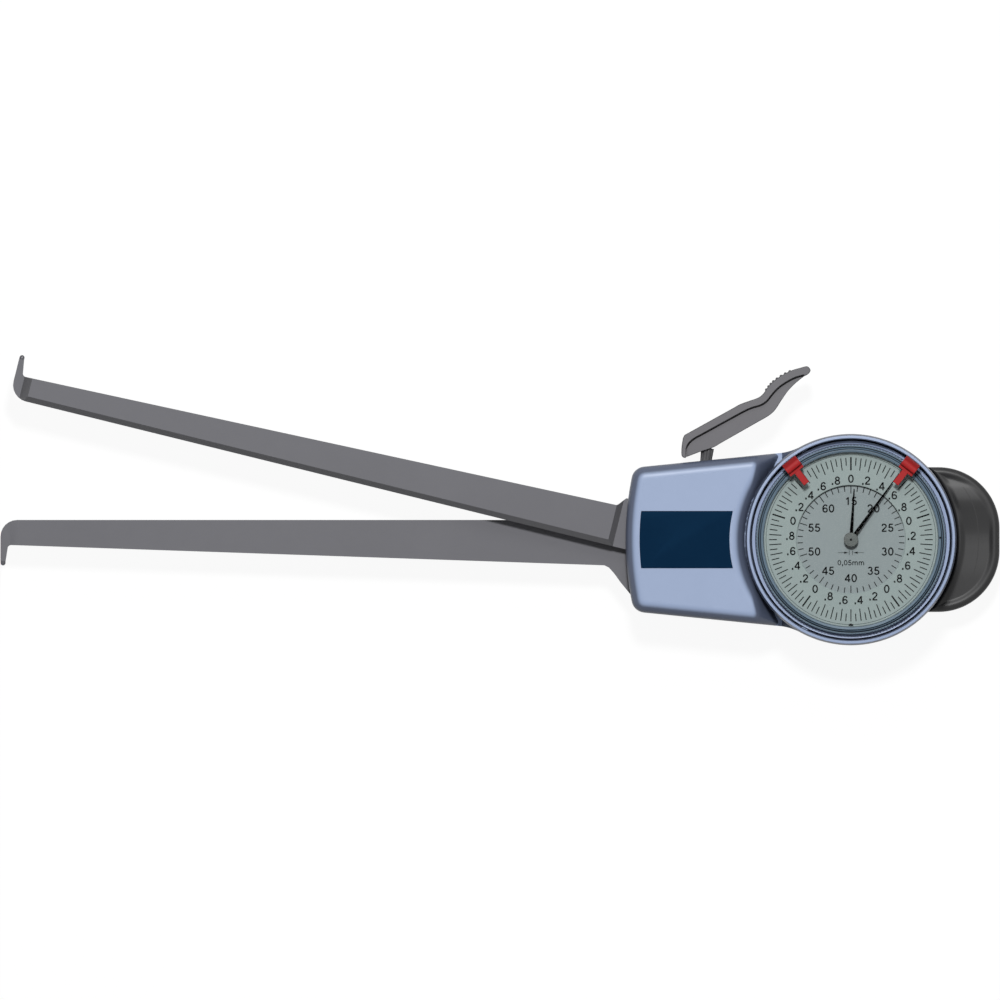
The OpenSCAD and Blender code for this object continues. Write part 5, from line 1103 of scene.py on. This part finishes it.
def lettering(text, height, x, y, z, thick=0.175):
    """Raised signs of a given height, centred at x, y: every stroke is a flat bar that carries half
    its width to both sides of its line."""
    wide = height * SIGN_WIDE
    x -= sum(SIGNS[sign][0] for sign in text) * wide / 2
    made = []
    for sign in text:
        for line in SIGNS[sign][1]:
            p = np.asarray(line, float) * [wide, height] + [x, y - height / 2]
            way = np.gradient(p, axis=0)
            way *= thick * height / 2 / np.linalg.norm(way, axis=1)[:, None]
            out = np.stack([way[:, 1], -way[:, 0]], 1)
            ring = [np.column_stack([p + side * out, np.full(len(p), z + up)])
                    for side, up in ((1, 0), (1, PRINT_H), (-1, PRINT_H), (-1, 0))]
            made.append(channel(np.stack(ring, 1)))
        x += SIGNS[sign][0] * wide
    return made


# Lines to a turn, their radii and widths, the border and the numbers' radius and height
LINES, LINE_OUT, LINE_LONG, LINE_SHORT, LINE_W = 100, 25.4, 21.6, 23.0, 0.3
HEAVY_OUT, HEAVY_IN, HEAVY_W, BORDER_R, BORDER_W = 25.6, 21.5, 0.48, 26.35, 0.12
NUMBER_R, NUMBER_H = 18.9, 2.48
# The same for the inner scale
INNER_LINES, INNER_OUT, INNER_LONG, INNER_SHORT, INNER_W = 50, 16.6, 14.3, 14.95, 0.28
INNER_NUMBER_R, INNER_NUMBER_H = 11.95, 2.46
# Places along Y of the unit's word, the step's sign and the half disc at the bottom, and sizes
UNIT_Y, UNIT_H, UNIT_THICK, STEP_SIGN_Y = -7.15, 1.6, 0.16, -4.05
HALF_DISC_Y, HALF_DISC_R = -26.8, 0.75
# The bar on the bezel's face: its ends, width, foot and height, and its turn in degrees
MARK_IN, MARK_OUT, MARK_W, MARK_Z, MARK_H, MARK_TURN = 27.4, 27.97, 0.6, 29.8, 0.26, 1.2
# The painted shade of the step between the two scales, a dark crescent along its upper half: its
# radius, its ends and its points
SHADE_R, SHADE_FROM, SHADE_TO, SHADE_POINTS = 16.86, 12, 168, 97


def numbers(words, height, r, z):
    """Words at even steps clockwise round the dial, the first at the top."""
    made = []
    for k, word in enumerate(words):
        a = radians(90 - 360 / len(words) * k)
        made += lettering(word, height, r * cos(a), r * sin(a), z)
    return made


def printed(outline, z):
    """A flat printed shape."""
    return prism(outline, [(0, z), (0, z + PRINT_H)])


def step_sign():
    """The sign for the scale's step: two short bars, and an arrow from each side up to them."""
    made = []
    for side in (-1, 1):
        made += [bars([90.0 * side], 0.45, 0.6, 1.35, DISC_Z),
                 bars([90.0 * side], 1.6, 4.0, 0.12, DISC_Z),
                 printed(np.array([[0.75, 0], [2.1, 0.34], [2.1, -0.34]]) * [side, 1], DISC_Z)]
    return [moved(part, 0, (0, STEP_SIGN_Y, 0)) for part in made]


def shade():
    """A painted shade crescent along the upper half of the step: its width is 0.02 + 0.26 sqrt(sin(pi
    t)) at a share t of its way.
    """
    a = np.linspace(radians(SHADE_FROM), radians(SHADE_TO), SHADE_POINTS)
    w = 0.02 + 0.26 * np.sqrt(np.sin((a - a[0]) / (a[-1] - a[0]) * pi))
    corners = [np.stack([(SHADE_R - d * w) * np.cos(a), (SHADE_R - d * w) * np.sin(a),
                         np.full(SHADE_POINTS, DIAL_Z - 0.02 + z)], 1)
               for d, z in ((0, 0), (0, PRINT_H), (1, PRINT_H), (1, 0))]
    return channel(np.stack(corners, 1))


def build_print():
    """Outer scale: a hundred lines a turn, every second one longer, with a heavy line and a nought
    five times a turn. Inner scale: fifty lines a turn, numbered from 15 to 60."""
    k = np.arange(LINES)
    at, heavy = 360 / LINES * k, k % 20 == 0
    parts = [bars(at[~heavy], np.where(k[~heavy] % 2 == 0, LINE_LONG, LINE_SHORT), LINE_OUT, LINE_W,
                  DIAL_Z),
             bars(at[heavy], HEAVY_IN, HEAVY_OUT, HEAVY_W, DIAL_Z)]
    k = np.arange(INNER_LINES)
    parts += [bars(360 / INNER_LINES * k, np.where(k % 5 == 0, INNER_LONG, INNER_SHORT), INNER_OUT,
                   INNER_W, DISC_Z),
              band(BORDER_R - BORDER_W / 2, BORDER_R + BORDER_W / 2, DIAL_Z, DIAL_Z + PRINT_H, 256)]
    parts += numbers(["0", ".2", ".4", ".6", ".8"] * 5, NUMBER_H, NUMBER_R, DIAL_Z)
    parts += numbers([str(k) for k in range(15, 65, 5)], INNER_NUMBER_H, INNER_NUMBER_R, DISC_Z)
    parts += lettering("0,05mm", UNIT_H, 0, UNIT_Y, DISC_Z, UNIT_THICK) + step_sign()
    # The half disc is print; the crescent is painted shade, in the print's ink
    parts += [printed(arc(0, HALF_DISC_Y, HALF_DISC_R, 0, 180, 16), DIAL_Z), shade()]
    made = as_object("print", parts)
    piece("dial_print", made, "bezel", "pointer", look="print", angle=30)
    bar = bars([90], MARK_IN, MARK_OUT, MARK_W, MARK_Z, MARK_H)
    mark = as_object("mark", [moved(bar, MARK_TURN)])
    piece("bezel_mark", mark, "bezel", "pointer", look="print", angle=30)


build_print()

# Pointers and markers
BLADE_T, HUB_R, TIP_HALF, ARBOR_R = 0.35, 1.9, 0.1, 0.55


def build_pointer(node, name, body, length, at, z):
    """A flat blade that tapers from its hub to a fine blunt tip, at an angle clockwise from the
    top."""
    blade = path(arc(0, 0, HUB_R, 17, 343, 48),
                 [[length - 0.1, -0.17], [length, -TIP_HALF], [length, TIP_HALF],
                  [length - 0.1, 0.17]])
    made = as_object(name, [moved(prism(blade, [(0, 0), (0, BLADE_T)]), 90 - at, (0, 0, z))])
    carve(made, [band(CORE, ARBOR_R, z - 1, z + 1, 32)])
    piece(name, made, body, "pointer", [node], angle=30)


def build_cap():
    """The turned cap on the pointers' hub, and a black disc in its middle that stands for the arbor's
    hole, its darkness painted shade.
    """
    cap = as_object("cap", [revolve([(CORE, 29.5), (2.2, 29.5), (2.24, 29.6), (2.24, 29.95),
                                     (2.16, 30.07), (2.05, 30.1), (CORE, 30.1)], 96)])
    piece("pointer_cap_disc", cap, "long_hand", "cap", ["pointer_cap"], angle=24)
    # Painted shade: a black disc stands for the shaded hole of the arbor
    arbor_hole_shade = as_object("arbor_hole_shade", [revolve([(CORE, 30.05), (0.38, 30.05), (0.38, 30.12), (0.3, 30.14),
                                     (CORE, 30.14)], 24)])
    piece("pointer_cap_hole_shade", arbor_hole_shade, "long_hand", "pointer", look="print", angle=24)


build_pointer("short_pointer", "short_pointer_blade", "short_hand", length=15.8, at=3.6, z=28.3)
build_pointer("long_pointer", "long_pointer_blade", "long_hand", length=22.1, at=36.0, z=29.15)
build_cap()

# The markers' angle from the top, in degrees, and half the width of their blocks
MARKER_AT, MARKER_HALF = 38.4, 2.6
# The rolled top of a marker's section, as radii and heights
MARKER_ROLL = [[27.72, 32.9], [27.86, 33.5], [28.1, 33.95], [28.6, 34.12], [29.2, 34.14],
               [29.7, 34.05], [30.2, 33.8], [30.7, 33.35], [31.1, 32.8], [31.3, 32.3]]


def build_markers():
    """A marker's block is a rolled section drawn along the bezel's tangent; its tongue lies flat
    over the crystal."""
    roll = smooth(MARKER_ROLL, 5)
    section = path([[26.9, 31.95], [26.9, 32.75], [27.0, 32.85], [27.62, 32.85]], roll,
                   [[31.3, 31.0], [30.35, 31.0], [30.3, 30.35], [29.85, 30.35], [29.8, 31.5],
                    [27.5, 31.5], [27.3, 31.95]])[::-1]
    body = upright(prism(section, [(0.12, -MARKER_HALF), (0, -MARKER_HALF + 0.12),
                                   (0, MARKER_HALF - 0.12), (0.12, MARKER_HALF)]))
    tongue = prism(np.array([[22.2, -1.02], [27.2, -1.02], [27.2, 1.02], [22.2, 1.02]]),
                   [(0, 32.0), (0, 32.7), (0.1, 32.8)])
    for side, word in ((1, "left"), (-1, "right")):
        made = as_object(word, [moved(body, 90 + side * MARKER_AT)])
        carve(made, [moved(tongue, 90 + side * MARKER_AT)], "UNION")
        piece(word + "_marker_body", made, word + "_marker", "marker",
              [word + "_tolerance_marker"], angle=30)


build_markers()

# Camera, light and floor

# Pixels to a millimetre, the photo's side and the dial's axis in its pixels
VIEW_SCALE, PHOTO, AXIS_PX = 3.22, 1000, (850.7, 539.6)
# The camera's distance from the level that the scale holds for, half the floor's side and the
# floor's height, in metres, and the camera's sensor in millimetres
DISTANCE, SCALE_Z, FLOOR_HALF, FLOOR_Z, SENSOR = 12.0, 0.02, 4.0, -0.0001, 36.0
# How bright the dome and the floor look, and how much of the dome's light reaches the object
DOME_LOOK, DOME_LIGHT, FLOOR_LOOK = 0.87, 0.13, 0.93
LAMPS_LOOK_AT = Vector((-0.08, 0.0, 0.02))
SEEN = ("Is Camera Ray", "Is Glossy Ray", "Is Transmission Ray")


def build_camera():
    """The camera looks straight down from far off, so that its view is nearly parallel."""
    centre = [(PHOTO / 2 - AXIS_PX[0]) / VIEW_SCALE * MM, (AXIS_PX[1] - PHOTO / 2) / VIEW_SCALE * MM]
    cam = bpy.data.cameras.new("camera")
    cam.sensor_width = SENSOR
    cam.lens = SENSOR * DISTANCE / (PHOTO / VIEW_SCALE * MM)
    cam.clip_start, cam.clip_end = 1.0, 40.0
    camera = bpy.data.objects.new("camera", cam)
    camera.location = (centre[0], centre[1], DISTANCE + SCALE_Z)
    scene.collection.objects.link(camera)
    scene.camera = camera


def build_lamp(name, at, size, watts):
    """A round lamp at a place, turned to the object."""
    data = bpy.data.lights.new(name, "AREA")
    data.shape, data.size, data.energy = "DISK", size, watts
    obj = bpy.data.objects.new(name, data)
    obj.location = at
    obj.rotation_mode = "QUATERNION"
    obj.rotation_quaternion = (LAMPS_LOOK_AT - Vector(at)).to_track_quat("-Z", "Y")
    scene.collection.objects.link(obj)


def build_dome():
    """A dome that looks white and lights the object little."""
    world = bpy.data.worlds.new("studio dome")
    world.use_nodes = True
    g = Graph(world.node_tree)
    back = world.node_tree.nodes["Background"]
    strength = g.math("ADD", g.math("MULTIPLY", g.rays(*SEEN), DOME_LOOK), DOME_LIGHT)
    g.tree.links.new(strength, back.inputs["Strength"])
    back.inputs["Color"].default_value = (1, 1, 1, 1)
    scene.world = world


def build_floor():
    """A floor that looks white and takes soft shadows."""
    mesh = bpy.data.meshes.new("floor")
    mesh.from_pydata([(x * FLOOR_HALF, y * FLOOR_HALF, FLOOR_Z)
                      for x, y in ((-1, -1), (1, -1), (1, 1), (-1, 1))], [], [(0, 1, 2, 3)])
    floor = bpy.data.objects.new("floor", mesh)
    scene.collection.objects.link(floor)
    mat = bpy.data.materials.new("pale floor")
    mat.use_nodes = True
    g = Graph(mat.node_tree)
    g.tree.nodes.remove(g.tree.nodes["Principled BSDF"])
    seen = g.rays(*SEEN)
    matte = g.add("ShaderNodeBsdfDiffuse", ("Color", g.mix(seen, (0.4, 0.4, 0.4, 1),
                                                           (0.1, 0.1, 0.1, 1))))
    glow = g.add("ShaderNodeEmission", ("Color", (1, 1, 1, 1)),
                 ("Strength", g.math("MULTIPLY", seen, FLOOR_LOOK)))
    both = g.add("ShaderNodeAddShader", (0, matte.outputs[0]), (1, glow.outputs[0]))
    g.show(both.outputs[0])
    mesh.materials.append(mat)


build_camera()
build_lamp("key", (-0.06, 0.544, 1.416), size=0.2, watts=15.35)
build_lamp("sky", (-0.05, 1.15, 1.0), size=0.6, watts=2.4)
build_dome()
build_floor()
scene.view_settings.view_transform = "Standard"
